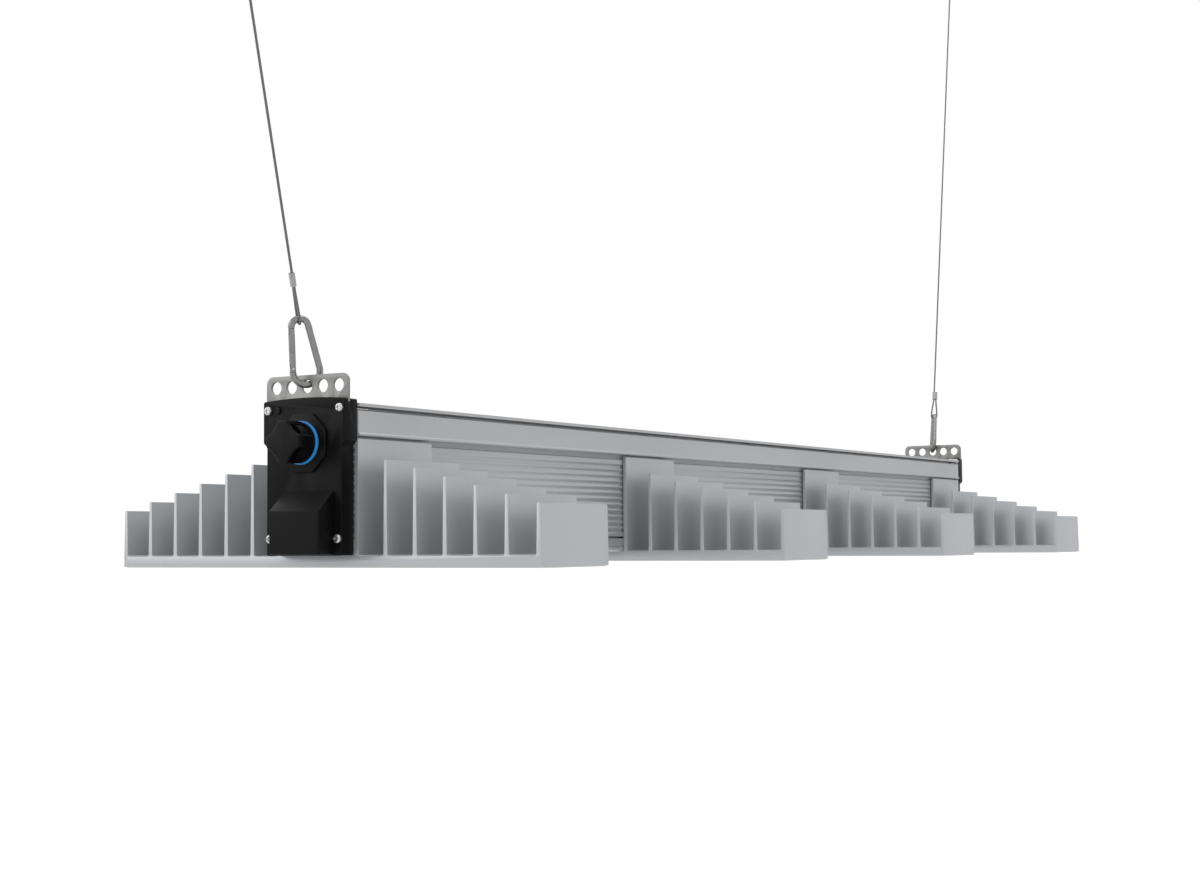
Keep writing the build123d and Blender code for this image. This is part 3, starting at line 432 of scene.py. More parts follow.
def moulded_plastic(name, colour, rough=0.42, texture=2200.0):
    """Black moulded plastic: fine texture, faint scuffs and dust on top."""
    material, tree, shader = new_material(name, Specular_IOR_Level=0.09)
    scuffs = use_group(tree, shared("wear"), Scale=90.0, Amount=0.2)
    dust = use_group(tree, shared("dust"), Amount=0.08)
    height = use_group(tree, shared("moulded"), Scale=texture)
    tone = colour_mix(tree, scuffs["Mask"], colour, [c * 2.2 + 0.003 for c in colour])
    tone = colour_mix(tree, dust["Mask"], tone, (0.35, 0.34, 0.33))
    join(tree, tone, shader.inputs["Base Color"])
    change = math_node(tree, "MULTIPLY", scuffs["Mask"], 0.35)
    join(tree, math_node(tree, "ADD", change, rough), shader.inputs["Roughness"])
    add_bump(tree, shader, height["Height"], 0.00006, 0.35)
    return material


def rubber(name, colour):
    """Matt rubber with a moulded grain and pale bloom."""
    material, tree, shader = new_material(name)
    bloom = use_group(tree, shared("wear"), Scale=150.0, Amount=0.3)
    height = use_group(tree, shared("moulded"), Scale=1500.0)
    join(tree, colour_mix(tree, bloom["Mask"], colour, [c * 0.8 + 0.06 for c in colour]),
         shader.inputs["Base Color"])
    join(tree, math_node(tree, "ADD", math_node(tree, "MULTIPLY", bloom["Mask"], 0.3), 0.5),
         shader.inputs["Roughness"])
    add_bump(tree, shader, height["Height"], 0.00005, 0.4)
    return material


def lit_cover(name, colour):
    """A frosted cover lit from inside: a soft spot for each LED, a dimmer rim and glowing side walls."""
    _, size, _ = settings()
    material, tree, shader = new_material(name, Emission_Strength=0.75, Roughness=0.4)
    low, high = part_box("light_cover_1")
    first = middle_of("light_cover_1")
    pitch = middle_of("light_cover_2").x - first.x
    place = add(tree, "ShaderNodeTexCoord")
    split = add(tree, "ShaderNodeSeparateXYZ")
    join(tree, place.outputs["Object"], split.inputs[0])
    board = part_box("led_boards")
    step_x = (high.x - low.x - LED_INSET_X) / (size.led_columns - 1)
    step_y = (board[1].y - board[0].y - LED_INSET_Y) / (size.led_rows - 1)
    shifted = math_node(tree, "SUBTRACT", split.outputs["X"], first.x - pitch / 2)
    local = math_node(tree, "SUBTRACT", math_node(tree, "FLOORED_MODULO", shifted, pitch), pitch / 2)
    across = math_node(tree, "PINGPONG", local, step_x / 2)
    off = (size.led_rows - 1) * step_y / 2
    along = math_node(tree, "PINGPONG", math_node(tree, "SUBTRACT", split.outputs["Y"], -off), step_y / 2)
    radius = math_node(tree, "SQRT", math_node(tree, "ADD", math_node(tree, "POWER", across, 2.0),
                                               math_node(tree, "POWER", along, 2.0)))
    spot = math_node(tree, "SUBTRACT", 1.0, math_node(tree, "DIVIDE", radius, LED_GLOW), clamp=True)
    half_width = (high.x - low.x) / 2
    rim_x = math_node(tree, "GREATER_THAN", math_node(tree, "ABSOLUTE", local), half_width - COVER_RIM)
    rim_y = math_node(tree, "GREATER_THAN", math_node(tree, "ABSOLUTE", split.outputs["Y"]), high.y - COVER_RIM)
    rim = math_node(tree, "MAXIMUM", rim_x, rim_y)
    frost = add(tree, "ShaderNodeTexNoise", Vector=place.outputs["Object"], Scale=1500.0, Detail=2.0)
    glow = colour_mix(tree, spot, [c * 0.3 for c in colour], colour)
    glow = colour_mix(tree, math_node(tree, "MULTIPLY", rim, 0.35), glow, [c * 0.1 for c in colour])
    facing = add(tree, "ShaderNodeNewGeometry")
    normal = add(tree, "ShaderNodeSeparateXYZ")
    join(tree, facing.outputs["Normal"], normal.inputs[0])
    walls = math_node(tree, "GREATER_THAN", normal.outputs["Z"], COVER_FLAT)
    glow = colour_mix(tree, walls, glow, colour)
    join(tree, glow, shader.inputs["Emission Color"])
    join(tree, colour_mix(tree, math_node(tree, "MULTIPLY", frost.outputs["Fac"], 0.2), (0.45, 0.455, 0.46),
                          (0.38, 0.385, 0.39)), shader.inputs["Base Color"])
    add_bump(tree, shader, frost.outputs["Fac"], 0.00005, 0.4)
    return material


def circuit_board(name, colour):
    """Solder resist with copper tracks showing faintly through."""
    material, tree, shader = new_material(name, Roughness=0.35)
    place = add(tree, "ShaderNodeTexCoord")
    tracks = add(tree, "ShaderNodeTexBrick", Scale=60.0)
    tracks.inputs["Mortar Size"].default_value = 0.06
    join(tree, place.outputs["Object"], tracks.inputs["Vector"])
    join(tree, colour_mix(tree, tracks.outputs["Fac"], colour, [c * 0.8 for c in colour]),
         shader.inputs["Base Color"])
    add_bump(tree, shader, tracks.outputs["Fac"], 0.00003)
    return material


def phosphor(name):
    """The yellow dome of a white LED, unevenly filled."""
    material, tree, shader = new_material(name, Emission_Strength=0.6, Roughness=0.25)
    place = add(tree, "ShaderNodeTexCoord")
    fill = add(tree, "ShaderNodeTexNoise", Vector=place.outputs["Object"], Scale=900.0, Detail=3.0)
    tone = colour_mix(tree, fill.outputs["Fac"], (0.95, 0.72, 0.16), (1.0, 0.88, 0.42))
    join(tree, tone, shader.inputs["Base Color"])
    join(tree, tone, shader.inputs["Emission Color"])
    return material


def wire_insulation(name, colour):
    """Soft plastic insulation, slightly glossy, with small waves from bending."""
    material, tree, shader = new_material(name)
    marks = use_group(tree, shared("wear"), Scale=300.0, Amount=0.4)
    join(tree, colour_mix(tree, marks["Mask"], colour, [c * 1.5 + 0.02 for c in colour]),
         shader.inputs["Base Color"])
    join(tree, math_node(tree, "ADD", math_node(tree, "MULTIPLY", marks["Mask"], 0.3), 0.35),
         shader.inputs["Roughness"])
    add_bump(tree, shader, marks["Grain"], 0.00003, 0.4)
    return material


MATERIALS = {}


def material(name):
    """The lamp's materials by name, each built once."""
    finish, _, _ = settings()
    steel = tuple(finish.steel_colour)
    makers = {
        "sink": lambda: anodised("Heat sink aluminium", tuple(finish.sink_colour)),
        "beam": lambda: anodised("Beam aluminium", tuple(finish.beam_colour), 0.22),
        "plastic": lambda: moulded_plastic("Black plastic", tuple(finish.plastic_colour)),
        "gloss": lambda: moulded_plastic("Polished black plastic", tuple(finish.plastic_colour), 0.24, 3600.0),
        "seal": lambda: rubber("Blue seal", tuple(finish.seal_colour)),
        "gasket": lambda: rubber("White gasket", (0.72, 0.72, 0.70)),
        "hook": lambda: plated_steel("Zinc-plated hook", [c * 0.42 for c in steel], 0.27, 0.8),
        "screw": lambda: plated_steel("Screw steel", steel, 0.28, 0.3),
        "plate": lambda: plated_steel("Hanger plate steel", [c * 0.45 for c in steel], 0.5, 0.08),
        "rope": lambda: plated_steel("Rope wire", [c * 0.3 for c in steel], 0.36, 0.6),
        "ferrule": lambda: plated_steel("Pressed ferrule", [c * 0.6 for c in steel], 0.4, 0.5),
        "brass": lambda: plated_steel("Brass", (0.72, 0.53, 0.22), 0.25, 0.3),
        "case": lambda: plated_steel("Driver case", (0.66, 0.67, 0.69), 0.4, 0.2),
        "cover": lambda: lit_cover("Lit cover", tuple(finish.light_colour)),
        "board": lambda: circuit_board("White circuit board", (0.80, 0.81, 0.79)),
        "driver_board": lambda: circuit_board("Green circuit board", (0.03, 0.16, 0.06)),
        "phosphor": lambda: phosphor("LED phosphor"),
        "led_body": lambda: moulded_plastic("LED body", (0.80, 0.80, 0.78), 0.4),
        "parts": lambda: moulded_plastic("Driver components", (0.05, 0.05, 0.06), 0.35),
        "wire": lambda: wire_insulation("Wire insulation", (0.05, 0.05, 0.055)),
    }
    if name not in MATERIALS:
        MATERIALS[name] = makers[name]()
    return MATERIALS[name]


def paint(node_name, material_name):
    """Give a CAD node's own object a material."""
    mesh = NODES[node_name].data
    mesh.materials.clear()
    mesh.materials.append(material(material_name))


# ---------------------------------------------------------------- mesh helpers

def smooth_by_angle(mesh, degrees=32):
    """Smooth faces, with edges sharper than the angle kept hard."""
    for face in mesh.polygons:
        face.use_smooth = True
    work = bmesh.new()
    work.from_mesh(mesh)
    for edge in work.edges:
        turned = len(edge.link_faces) == 2 and edge.calc_face_angle() > math.radians(degrees)
        edge.smooth = not turned
    work.to_mesh(mesh)
    work.free()


def rounded_copy(node_name, material_name, width, body="lamp", segments=2):
    """A merged copy of a CAD node with softly rounded edges, which stands for the node."""
    source = NODES[node_name]
    mesh = source.data.copy()
    mesh.name = f"{node_name}_finish"
    work = bmesh.new()
    work.from_mesh(mesh)
    bmesh.ops.remove_doubles(work, verts=work.verts, dist=0.00001)
    bmesh.ops.dissolve_limit(work, angle_limit=math.radians(1.0), verts=work.verts, edges=work.edges)
    work.to_mesh(mesh)
    work.free()
    mesh.materials.clear()
    mesh.materials.append(material(material_name))
    piece = bpy.data.objects.new(f"{node_name}_finish", mesh)
    bpy.context.scene.collection.objects.link(piece)
    bevel = piece.modifiers.new("Edges", "BEVEL")
    bevel.width = width
    bevel.segments = segments
    bevel.limit_method = "ANGLE"
    bevel.angle_limit = math.radians(40)
    bevel.harden_normals = False
    bevel.use_clamp_overlap = True
    finished = as_plain_mesh(piece, f"{node_name}_finish")
    smooth_by_angle(finished.data, 38)
    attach(finished, body)
    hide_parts(node_name)
    return finished


def as_plain_mesh(piece, name):
    """Turn an object's evaluated shape into a plain mesh object, and take the first one away."""
    graph = bpy.context.evaluated_depsgraph_get()
    mesh = bpy.data.meshes.new_from_object(piece.evaluated_get(graph), depsgraph=graph)
    bpy.data.objects.remove(piece)
    plain = bpy.data.objects.new(name, mesh)
    mesh.name = name
    bpy.context.scene.collection.objects.link(plain)
    return plain


def check(condition, message):
    """Stop with a plain message if a piece could not be made."""
    if not condition:
        raise RuntimeError(message)


# ---------------------------------------------------------------- geometry trees

def new_shape_tree(name, inputs):
    """An empty geometry tree with named inputs and one geometry output."""
    tree = bpy.data.node_groups.new(name, "GeometryNodeTree")
    tree.interface.new_socket("Geometry", in_out="INPUT", socket_type="NodeSocketGeometry")
    for label, kind, value in inputs:
        socket = tree.interface.new_socket(label, in_out="INPUT", socket_type=kind)
        if value is not None:
            socket.default_value = value
    tree.interface.new_socket("Geometry", in_out="OUTPUT", socket_type="NodeSocketGeometry")
    return tree, tree.nodes.new("NodeGroupInput").outputs, tree.nodes.new("NodeGroupOutput").inputs


def finish_tree(tree, shape, material_socket, end):
    """Realise instances, shade smooth, set the material and put the shape out."""
    real = tree.nodes.new("GeometryNodeRealizeInstances")
    join(tree, shape, real.inputs[0])
    smooth = tree.nodes.new("GeometryNodeSetShadeSmooth")
    join(tree, real.outputs[0], smooth.inputs["Geometry"])
    paint_node = tree.nodes.new("GeometryNodeSetMaterial")
    join(tree, smooth.outputs[0], paint_node.inputs["Geometry"])
    join(tree, material_socket, paint_node.inputs["Material"])
    join(tree, paint_node.outputs[0], end["Geometry"])


def grow(tree, name, data=None, **values):
    """Run a geometry tree with the given named inputs and return the plain mesh object."""
    carrier = bpy.data.objects.new(name + "_carrier", data or bpy.data.meshes.new(name))
    bpy.context.scene.collection.objects.link(carrier)
    modifier = carrier.modifiers.new("Shape", "NODES")
    modifier.node_group = tree
    sockets = {item.name: item.identifier for item in tree.interface.items_tree if item.in_out == "INPUT"}
    for key, value in values.items():
        modifier[sockets[key.replace("_", " ")]] = value
    plain = as_plain_mesh(carrier, name)
    check(len(plain.data.polygons) > 0, f"{name} came out empty")
    return plain


def helix_tree():
    """A round wire wound on a helix up the local Z axis."""
    tree, start, end = new_shape_tree("Helical wire", [
        ("Radius", "NodeSocketFloat", 0.001), ("Wire", "NodeSocketFloat", 0.0002),
        ("Turns", "NodeSocketFloat", 10.0), ("Height", "NodeSocketFloat", 0.01),
        ("Sides", "NodeSocketInt", 8), ("Material", "NodeSocketMaterial", None)])
    spiral = add(tree, "GeometryNodeCurveSpiral", Resolution=20)
    join(tree, start["Turns"], spiral.inputs["Rotations"])
    join(tree, start["Radius"], spiral.inputs["Start Radius"])
    join(tree, start["Radius"], spiral.inputs["End Radius"])
    join(tree, start["Height"], spiral.inputs["Height"])
    ring = add(tree, "GeometryNodeCurvePrimitiveCircle")
    join(tree, start["Sides"], ring.inputs["Resolution"])
    join(tree, start["Wire"], ring.inputs["Radius"])
    tube = tree.nodes.new("GeometryNodeCurveToMesh")
    tube.inputs["Fill Caps"].default_value = True
    join(tree, spiral.outputs[0], tube.inputs["Curve"])
    join(tree, ring.outputs[0], tube.inputs["Profile Curve"])
    finish_tree(tree, tube.outputs[0], start["Material"], end)
    return tree


def strand_tree():
    """Strands laid round a centre line, and a straight core strand."""
    tree, start, end = new_shape_tree("Laid strands", [
        ("Strands", "NodeSocketInt", 6), ("Outer radius", "NodeSocketFloat", 0.0008),
        ("Lay", "NodeSocketFloat", 0.01), ("Step", "NodeSocketFloat", ROPE_STEP),
        ("Material", "NodeSocketMaterial", None)])
    points = tree.nodes.new("GeometryNodeResampleCurve")
    points.mode = "LENGTH"
    join(tree, start["Geometry"], points.inputs["Curve"])
    join(tree, start["Step"], points.inputs["Length"])
    copies = tree.nodes.new("GeometryNodeDuplicateElements")
    copies.domain = "SPLINE"
    join(tree, points.outputs[0], copies.inputs["Geometry"])
    join(tree, start["Strands"], copies.inputs["Amount"])
    share = math_node(tree, "DIVIDE", copies.outputs["Duplicate Index"], start["Strands"])
    along = tree.nodes.new("GeometryNodeSplineParameter")
    turns = math_node(tree, "DIVIDE", along.outputs["Length"], start["Lay"])
    angle = math_node(tree, "MULTIPLY", math_node(tree, "ADD", turns, share), math.tau)
    strand_r = math_node(tree, "DIVIDE", start["Outer radius"], 3.0)
    centre_r = math_node(tree, "MULTIPLY", strand_r, 2.0)
    normal = tree.nodes.new("GeometryNodeInputNormal")
    tangent = tree.nodes.new("GeometryNodeInputTangent")
    side = add(tree, "ShaderNodeVectorMath", operation="CROSS_PRODUCT")
    join(tree, normal.outputs["Normal"], side.inputs[0])
    join(tree, tangent.outputs[0], side.inputs[1])
    parts = []
    for socket, function in ((normal.outputs["Normal"], "COSINE"), (side.outputs[0], "SINE")):
        scaled = add(tree, "ShaderNodeVectorMath", operation="SCALE")
        join(tree, socket, scaled.inputs[0])
        away = math_node(tree, "MULTIPLY", math_node(tree, function, angle), centre_r)
        join(tree, away, scaled.inputs["Scale"])
        parts.append(scaled.outputs[0])
    total = add(tree, "ShaderNodeVectorMath", operation="ADD")
    join(tree, parts[0], total.inputs[0])
    join(tree, parts[1], total.inputs[1])
    moved = tree.nodes.new("GeometryNodeSetPosition")
    join(tree, copies.outputs["Geometry"], moved.inputs["Geometry"])
    join(tree, total.outputs[0], moved.inputs["Offset"])
    both = tree.nodes.new("GeometryNodeJoinGeometry")
    join(tree, moved.outputs[0], both.inputs[0])
    join(tree, points.outputs[0], both.inputs[0])
    ring = add(tree, "GeometryNodeCurvePrimitiveCircle", Resolution=8)
    join(tree, math_node(tree, "MULTIPLY", strand_r, 0.98), ring.inputs["Radius"])
    tube = tree.nodes.new("GeometryNodeCurveToMesh")
    tube.inputs["Fill Caps"].default_value = True
    join(tree, both.outputs[0], tube.inputs["Curve"])
    join(tree, ring.outputs[0], tube.inputs["Profile Curve"])
    finish_tree(tree, tube.outputs[0], start["Material"], end)
    return tree


def led_tree():
    """An even grid of LEDs: a square body under each and a shallow dome, facing down."""
    tree, start, end = new_shape_tree("LED grid", [
        ("Columns", "NodeSocketInt", 3), ("Rows", "NodeSocketInt", 20),
        ("Width", "NodeSocketFloat", 0.04), ("Length", "NodeSocketFloat", 0.27),
        ("Chip", "NodeSocketFloat", LED_CHIP), ("Body material", "NodeSocketMaterial", None),
        ("Material", "NodeSocketMaterial", None)])
    grid = tree.nodes.new("GeometryNodeMeshGrid")
    join(tree, start["Width"], grid.inputs["Size X"])
    join(tree, start["Length"], grid.inputs["Size Y"])
    join(tree, start["Columns"], grid.inputs["Vertices X"])
    join(tree, start["Rows"], grid.inputs["Vertices Y"])
    dome = add(tree, "GeometryNodeMeshUVSphere", Segments=12, Rings=6)
    join(tree, math_node(tree, "MULTIPLY", start["Chip"], 0.4), dome.inputs["Radius"])
    flat = tree.nodes.new("GeometryNodeTransform")
    flat.inputs["Scale"].default_value = (1, 1, LED_DOME_SQUASH)
    flat.inputs["Translation"].default_value = (0, 0, -LED_DOME_DROP)
    join(tree, dome.outputs[0], flat.inputs["Geometry"])
    base = tree.nodes.new("GeometryNodeMeshCube")
    size = tree.nodes.new("ShaderNodeCombineXYZ")
    join(tree, start["Chip"], size.inputs["X"])
    join(tree, start["Chip"], size.inputs["Y"])
    size.inputs["Z"].default_value = LED_BODY_HEIGHT
    join(tree, size.outputs[0], base.inputs["Size"])
    body_paint = tree.nodes.new("GeometryNodeSetMaterial")
    join(tree, base.outputs[0], body_paint.inputs["Geometry"])
    join(tree, start["Body material"], body_paint.inputs["Material"])
    dome_paint = tree.nodes.new("GeometryNodeSetMaterial")
    join(tree, flat.outputs[0], dome_paint.inputs["Geometry"])
    join(tree, start["Material"], dome_paint.inputs["Material"])
    one = tree.nodes.new("GeometryNodeJoinGeometry")
    join(tree, body_paint.outputs[0], one.inputs[0])
    join(tree, dome_paint.outputs[0], one.inputs[0])
    spread = tree.nodes.new("GeometryNodeInstanceOnPoints")
    join(tree, grid.outputs[0], spread.inputs["Points"])
    join(tree, one.outputs[0], spread.inputs["Instance"])
    real = tree.nodes.new("GeometryNodeRealizeInstances")
    join(tree, spread.outputs[0], real.inputs[0])
    join(tree, real.outputs[0], end["Geometry"])
    return tree


def merge(pieces, name):
    """Join several plain mesh objects into one."""
    work = bmesh.new()
    mesh = bpy.data.meshes.new(name)
    for source in pieces[0].data.materials:
        mesh.materials.append(source)
    for piece in pieces:
        work.from_mesh(piece.data)
        bpy.data.objects.remove(piece)
    work.to_mesh(mesh)
    work.free()
    joined = bpy.data.objects.new(name, mesh)
    bpy.context.scene.collection.objects.link(joined)
    return joined


def put(piece, matrix):
    """Write a place into the mesh, so that the object itself stays at the origin."""
    piece.data.transform(matrix)
    piece.data.update()


def axes(origin, x, z):
    """The matrix that puts local X and Z along the given directions."""
    z = z.normalized()
    x = (x - z * x.dot(z)).normalized()
    y = z.cross(x)
    return Matrix.Translation(origin) @ Matrix((x, y, z)).transposed().to_4x4()


# ---------------------------------------------------------------- pieces

def rope_frame(end):
    """Both crowns, the rope's direction and the direction across its eyes, from the frame's joints."""
    swing = JOINTS[f"rope_{end}_swing"]
    crown = Vector(swing["pos_m"])
    far = Vector(JOINTS[f"upper_hook_{end}_swing"]["pos_m"])
    pull = (far - crown).normalized()
    lateral = -Vector(swing["axis"]).normalized()
    return crown, far, pull, pull.cross(lateral).normalized()


def eye_points(crown, way, normal, size):
    """One eye's route: dead end in the ferrule, round the hook's wire, back through the ferrule's mouth."""
    leg = size.rope_radius + EYE_LEG_GAP
    loop = size.hook_wire + EYE_WIRE_GAP + size.rope_radius
    reach = math.hypot(leg, size.eye_length)
    lean = math.asin(loop / reach) - math.asin(leg / reach)
    turn = (math.pi + 2 * lean) / EYE_CORNERS
    out = loop / math.cos(turn / 2)
    points = [(leg, size.eye_length + size.ferrule_length), (leg, size.eye_length)]
    points += [(out * math.cos(lean - (i + 0.5) * turn), out * math.sin(lean - (i + 0.5) * turn))
               for i in range(EYE_CORNERS)]
    points += [(-leg, size.eye_length), (-leg, size.eye_length + EYE_LEAD * size.rope_radius)]
    return [crown + normal * a + way * b for a, b in points]


def rope_curve(end):
    """The rope's centre line as one open NURBS spline."""
    _, size, _ = settings()
    crown, far, pull, normal = rope_frame(end)
    points = eye_points(crown, pull, normal, size) + eye_points(far, -pull, normal, size)[::-1]
    curve = bpy.data.curves.new(f"rope_line_{end}", "CURVE")
    curve.dimensions = "3D"
    curve.resolution_u = 24
    spline = curve.splines.new("NURBS")
    spline.points.add(len(points) - 1)
    for slot, point in zip(spline.points, points):
        slot.co = (*point, 1)
    spline.order_u = 3
    spline.use_endpoint_u = True
    return curve


class LAMP_OT_heat_sinks(bpy.types.Operator):
    """Finish the four heat sinks: rounded fin edges and anodised skin"""
    bl_idname = "lamp.heat_sinks"
    bl_label = "Heat sinks"

    def execute(self, context):
        _, size, _ = settings()
        for i in range(1, 5):
            rounded_copy(f"heat_sink_{i}", "sink", size.edge)
        paint("heat_sink_screws", "screw")
        return {"FINISHED"}


class LAMP_OT_beam(bpy.types.Operator):
    """Finish the ribbed beam"""
    bl_idname = "lamp.beam"
    bl_label = "Beam"

    def execute(self, context):
        rounded_copy("beam", "beam", BEAM_EDGE, segments=1)
        return {"FINISHED"}


class LAMP_OT_light_modules(bpy.types.Operator):
    """Finish the lit covers, boards, gaskets and cover screws, and set out the LEDs"""
    bl_idname = "lamp.light_modules"
    bl_label = "Light modules"

    def execute(self, context):
        _, size, _ = settings()
        for i in range(1, 5):
            paint(f"light_cover_{i}", "cover")
        paint("light_cover_gaskets", "gasket")
        paint("light_cover_screws", "screw")
        paint("led_boards", "board")
        tree = led_tree()
        low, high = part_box("led_chips")
        width = 2 * (middle_of("light_cover_1").x - low.x) - LED_CHIP
        length = high.y - low.y - LED_CHIP
        made = []
        for i in range(1, 5):
            middle = middle_of(f"light_cover_{i}")
            leds = grow(tree, f"leds_{i}", Columns=size.led_columns, Rows=size.led_rows, Width=width,
                        Length=length, Chip=LED_CHIP, Body_material=material("led_body"),
                        Material=material("phosphor"))
            put(leds, Matrix.Translation((middle.x, middle.y, high.z - LED_BODY_HEIGHT / 2)))
            made.append(leds)
        leds = merge(made, "leds")
        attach(leds, "lamp")
        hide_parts("led_chips")
        return {"FINISHED"}


class LAMP_OT_end_caps(bpy.types.Operator):
    """Finish the end caps, their screws and gaskets, the hanger plates and the plug"""
    bl_idname = "lamp.end_caps"
    bl_label = "End caps"

    def execute(self, context):
        _, size, _ = settings()
        for end in ("near", "far"):
            rounded_copy(f"end_cap_{end}", "plastic", size.edge)
            rounded_copy(f"hanger_plate_{end}", "plate", size.edge * 0.6)
        paint("end_gaskets", "gasket")
        paint("end_cap_screws", "screw")
        paint("hanger_spacers", "screw")
        paint("hanger_screws", "screw")
        paint("vent_plug", "gloss")
        return {"FINISHED"}


class LAMP_OT_socket(bpy.types.Operator):
    """Finish the power socket, its screw cap and seal ring, and cut the barrel's thread"""
    bl_idname = "lamp.socket"
    bl_label = "Power socket"

    def execute(self, context):
        _, size, _ = settings()
        rounded_copy("socket_body", "gloss", size.edge * 0.6)
        rounded_copy("socket_screw_cap", "gloss", size.edge * 0.8, body="socket_screw_cap")
        rounded_copy("cable_hood", "plastic", size.edge)
        paint("socket_seal_ring", "seal")
        paint("socket_pins", "brass")
        paint("socket_nut", "gloss")
        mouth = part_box("socket_body")[0].x
        middle = middle_of("socket_body")
        thread = grow(helix_tree(), "socket_thread", Radius=THREAD_RADIUS, Wire=THREAD_RIDGE,
                      Turns=THREAD_LENGTH / size.thread_pitch, Height=THREAD_LENGTH, Sides=6,
                      Material=material("gloss"))
        inner_end = Vector((mouth + THREAD_START, middle.y, middle.z))
        put(thread, axes(inner_end, Vector((0, 0, 1)), Vector((-1, 0, 0))))
        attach(thread, "lamp")
        return {"FINISHED"}


class LAMP_OT_inside(bpy.types.Operator):
    """Finish the driver and the wiring inside the beam"""
    bl_idname = "lamp.inside"
    bl_label = "Driver and wiring"

    def execute(self, context):
        for name, kind in (("driver_tray", "case"), ("driver_cover", "case"), ("driver_mounts", "case"),
                           ("driver_board", "driver_board"), ("driver_components", "parts"),
                           ("terminal_block", "plastic"), ("wiring_strip", "wire"), ("module_leads", "wire"),
                           ("supply_wires", "wire"), ("lead_sleeves", "plastic")):
            paint(name, kind)
        return {"FINISHED"}


class LAMP_OT_hooks(bpy.types.Operator):
    """Finish the snap hooks and wind their gate springs"""
    bl_idname = "lamp.hooks"
    bl_label = "Snap hooks"

    def execute(self, context):
        _, size, _ = settings()
        tree = helix_tree()
        for end in ("near", "far"):
            for level in ("lower", "upper"):
                paint(f"{level}_hook_{end}", "hook")
                paint(f"{level}_gate_{end}", "hook")
                paint(f"{level}_gate_pin_{end}", "screw")
                self.spring(tree, level, end, size)
        return {"FINISHED"}

    def spring(self, tree, level, end, size):
        """Wind one gate spring in its gate's bore, in place of the plain sleeve."""
        name = f"{level}_gate_spring_{end}"
        corners = [Vector(v.co) for v in NODES[name].data.vertices]
        centre = sum(corners, Vector()) / len(corners)
        far = max(corners, key=lambda point: (point - centre).length)
        pivot = Vector(JOINTS[f"{level}_gate_{end}_open"]["pos_m"])
        along = (centre - pivot).normalized()
        length = 2 * abs((far - centre).dot(along))
        coil = grow(tree, f"{level}_spring_coil_{end}", Radius=SPRING_RADIUS, Wire=SPRING_WIRE,
                    Turns=size.spring_turns, Height=length - 2 * SPRING_WIRE, Sides=6,
                    Material=material("screw"))
        side = Vector((0, 0, 1)).cross(along)
        put(coil, axes(centre - along * (length / 2 - SPRING_WIRE), side, along))
        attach(coil, f"{level}_gate_{end}")
        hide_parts(name)


class LAMP_OT_ropes(bpy.types.Operator):
    """Lay the two wire ropes strand by strand between their hooks"""
    bl_idname = "lamp.ropes"
    bl_label = "Wire ropes"

    def execute(self, context):
        _, size, _ = settings()
        tree = strand_tree()
        for end in ("near", "far"):
            curve = rope_curve(end)
            line = bpy.data.objects.new(f"rope_line_{end}", curve)
            context.scene.collection.objects.link(line)
            graph = context.evaluated_depsgraph_get()
            traced = bpy.data.meshes.new_from_object(line.evaluated_get(graph), depsgraph=graph)
            bpy.data.objects.remove(line)
            rope = grow(tree, f"wire_rope_{end}", data=curve, Strands=size.rope_strands,
                        Outer_radius=size.rope_radius, Lay=size.rope_lay, Step=ROPE_STEP,
                        Material=material("rope"))
            paint(f"rope_ferrules_{end}", "ferrule")
            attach(rope, f"rope_{end}")
            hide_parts(f"rope_{end}")
            on_rope = [NODES[f"{kind}_{end}"] for kind in ("rope_ferrules", "upper_hook", "upper_gate",
                                                           "upper_gate_pin")]
            on_rope.append(bpy.data.objects[f"upper_spring_coil_{end}"])
        return {"FINISHED"}


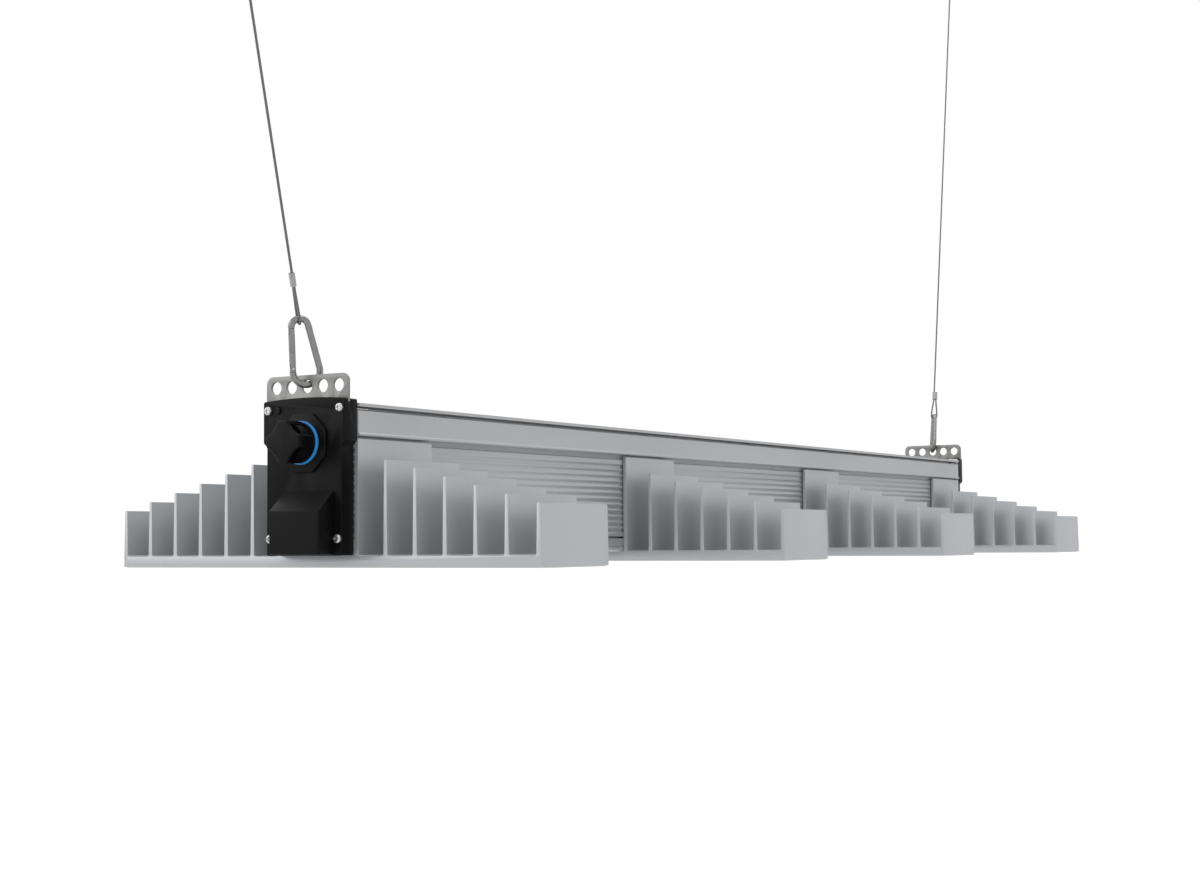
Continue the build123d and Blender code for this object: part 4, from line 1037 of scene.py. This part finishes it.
class LAMP_OT_stage(bpy.types.Operator):
    """Set the floor, surroundings, lights and camera"""
    bl_idname = "lamp.stage"
    bl_label = "Stage"

    def execute(self, context):
        _, _, stage = settings()
        floor_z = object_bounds()[0][2] - stage.floor_drop
        floor_mesh = bpy.data.meshes.new("floor")
        work = bmesh.new()
        bmesh.ops.create_grid(work, x_segments=1, y_segments=1, size=FLOOR_HALF)
        work.to_mesh(floor_mesh)
        work.free()
        floor = bpy.data.objects.new("floor", floor_mesh)
        floor.location.z = floor_z
        paper, tree, shader = new_material("Pale floor", Roughness=0.9)
        place = add(tree, "ShaderNodeTexCoord")
        fibre = add(tree, "ShaderNodeTexNoise", Vector=place.outputs["Object"], Scale=40.0, Detail=4.0)
        join(tree, colour_mix(tree, fibre.outputs["Fac"], (0.93, 0.93, 0.93), (0.96, 0.96, 0.96)),
             shader.inputs["Base Color"])
        shader.inputs["Emission Color"].default_value = (1, 1, 1, 1)
        shader.inputs["Emission Strength"].default_value = 0.1
        floor_mesh.materials.append(paper)
        context.scene.collection.objects.link(floor)
        floor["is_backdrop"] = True
        self.lights(context)
        self.camera(context, stage)
        return {"FINISHED"}

    def lights(self, context):
        """White surroundings, a large soft light above and one from the camera's left."""
        world = bpy.data.worlds.new("Studio")
        context.scene.world = world
        world.use_nodes = True
        world.node_tree.nodes["Background"].inputs["Color"].default_value = (1, 1, 1, 1)
        world.node_tree.nodes["Background"].inputs["Strength"].default_value = 1.0
        for name, place, aim, width, power in LIGHTS:
            lamp = bpy.data.lights.new(name, "AREA")
            lamp.size = width
            lamp.energy = power
            thing = bpy.data.objects.new(name, lamp)
            thing.location = place
            thing.rotation_euler = (Vector(aim) - Vector(place)).to_track_quat("-Z", "Y").to_euler()
            context.scene.collection.objects.link(thing)
        context.scene.view_settings.view_transform = "Standard"
        context.scene.view_settings.look = "None"

    def camera(self, context, stage):
        """The camera, low at the socket end, looking along the beam."""
        data = bpy.data.cameras.new("camera")
        data.sensor_fit = "HORIZONTAL"
        data.sensor_width = SENSOR_WIDTH
        data.lens = stage.lens
        data.clip_start = 0.01
        camera = bpy.data.objects.new("camera", data)
        azimuth = Matrix.Rotation(stage.camera_azimuth, 4, "Z")
        pitch = Matrix.Rotation(math.pi / 2 + stage.camera_pitch, 4, "X")
        turn = azimuth @ pitch @ Matrix.Rotation(stage.camera_roll, 4, "Z")
        camera.matrix_world = Matrix.Translation(stage.camera_place) @ turn
        context.scene.collection.objects.link(camera)
        context.scene.camera = camera


OPERATORS = (LAMP_OT_heat_sinks, LAMP_OT_beam, LAMP_OT_light_modules, LAMP_OT_end_caps, LAMP_OT_socket,
             LAMP_OT_inside, LAMP_OT_hooks, LAMP_OT_ropes, LAMP_OT_stage)


class LAMP_PT_panel(bpy.types.Panel):
    """Sidebar panel with the lamp's settings and steps"""
    bl_label = "Grow light"
    bl_idname = "LAMP_PT_panel"
    bl_space_type = "VIEW_3D"
    bl_region_type = "UI"
    bl_category = "Grow light"

    def draw(self, context):
        for group in settings():
            box = self.layout.box()
            for name in group.__annotations__:
                box.prop(group, name)
        for operator in OPERATORS:
            self.layout.operator(operator.bl_idname)


CLASSES = (FinishSettings, SizeSettings, StageSettings, *OPERATORS, LAMP_PT_panel)


def register():
    for item in CLASSES:
        bpy.utils.register_class(item)
    bpy.types.Scene.lamp_finish = PointerProperty(type=FinishSettings)
    bpy.types.Scene.lamp_size = PointerProperty(type=SizeSettings)
    bpy.types.Scene.lamp_stage = PointerProperty(type=StageSettings)


def unregister():
    del bpy.types.Scene.lamp_finish
    del bpy.types.Scene.lamp_size
    del bpy.types.Scene.lamp_stage
    for item in reversed(CLASSES):
        bpy.utils.unregister_class(item)


def main():
    register()
    for operator in OPERATORS:
        group, name = operator.bl_idname.split(".")
        getattr(getattr(bpy.ops, group), name)()


if __name__ == "__main__":
    main()
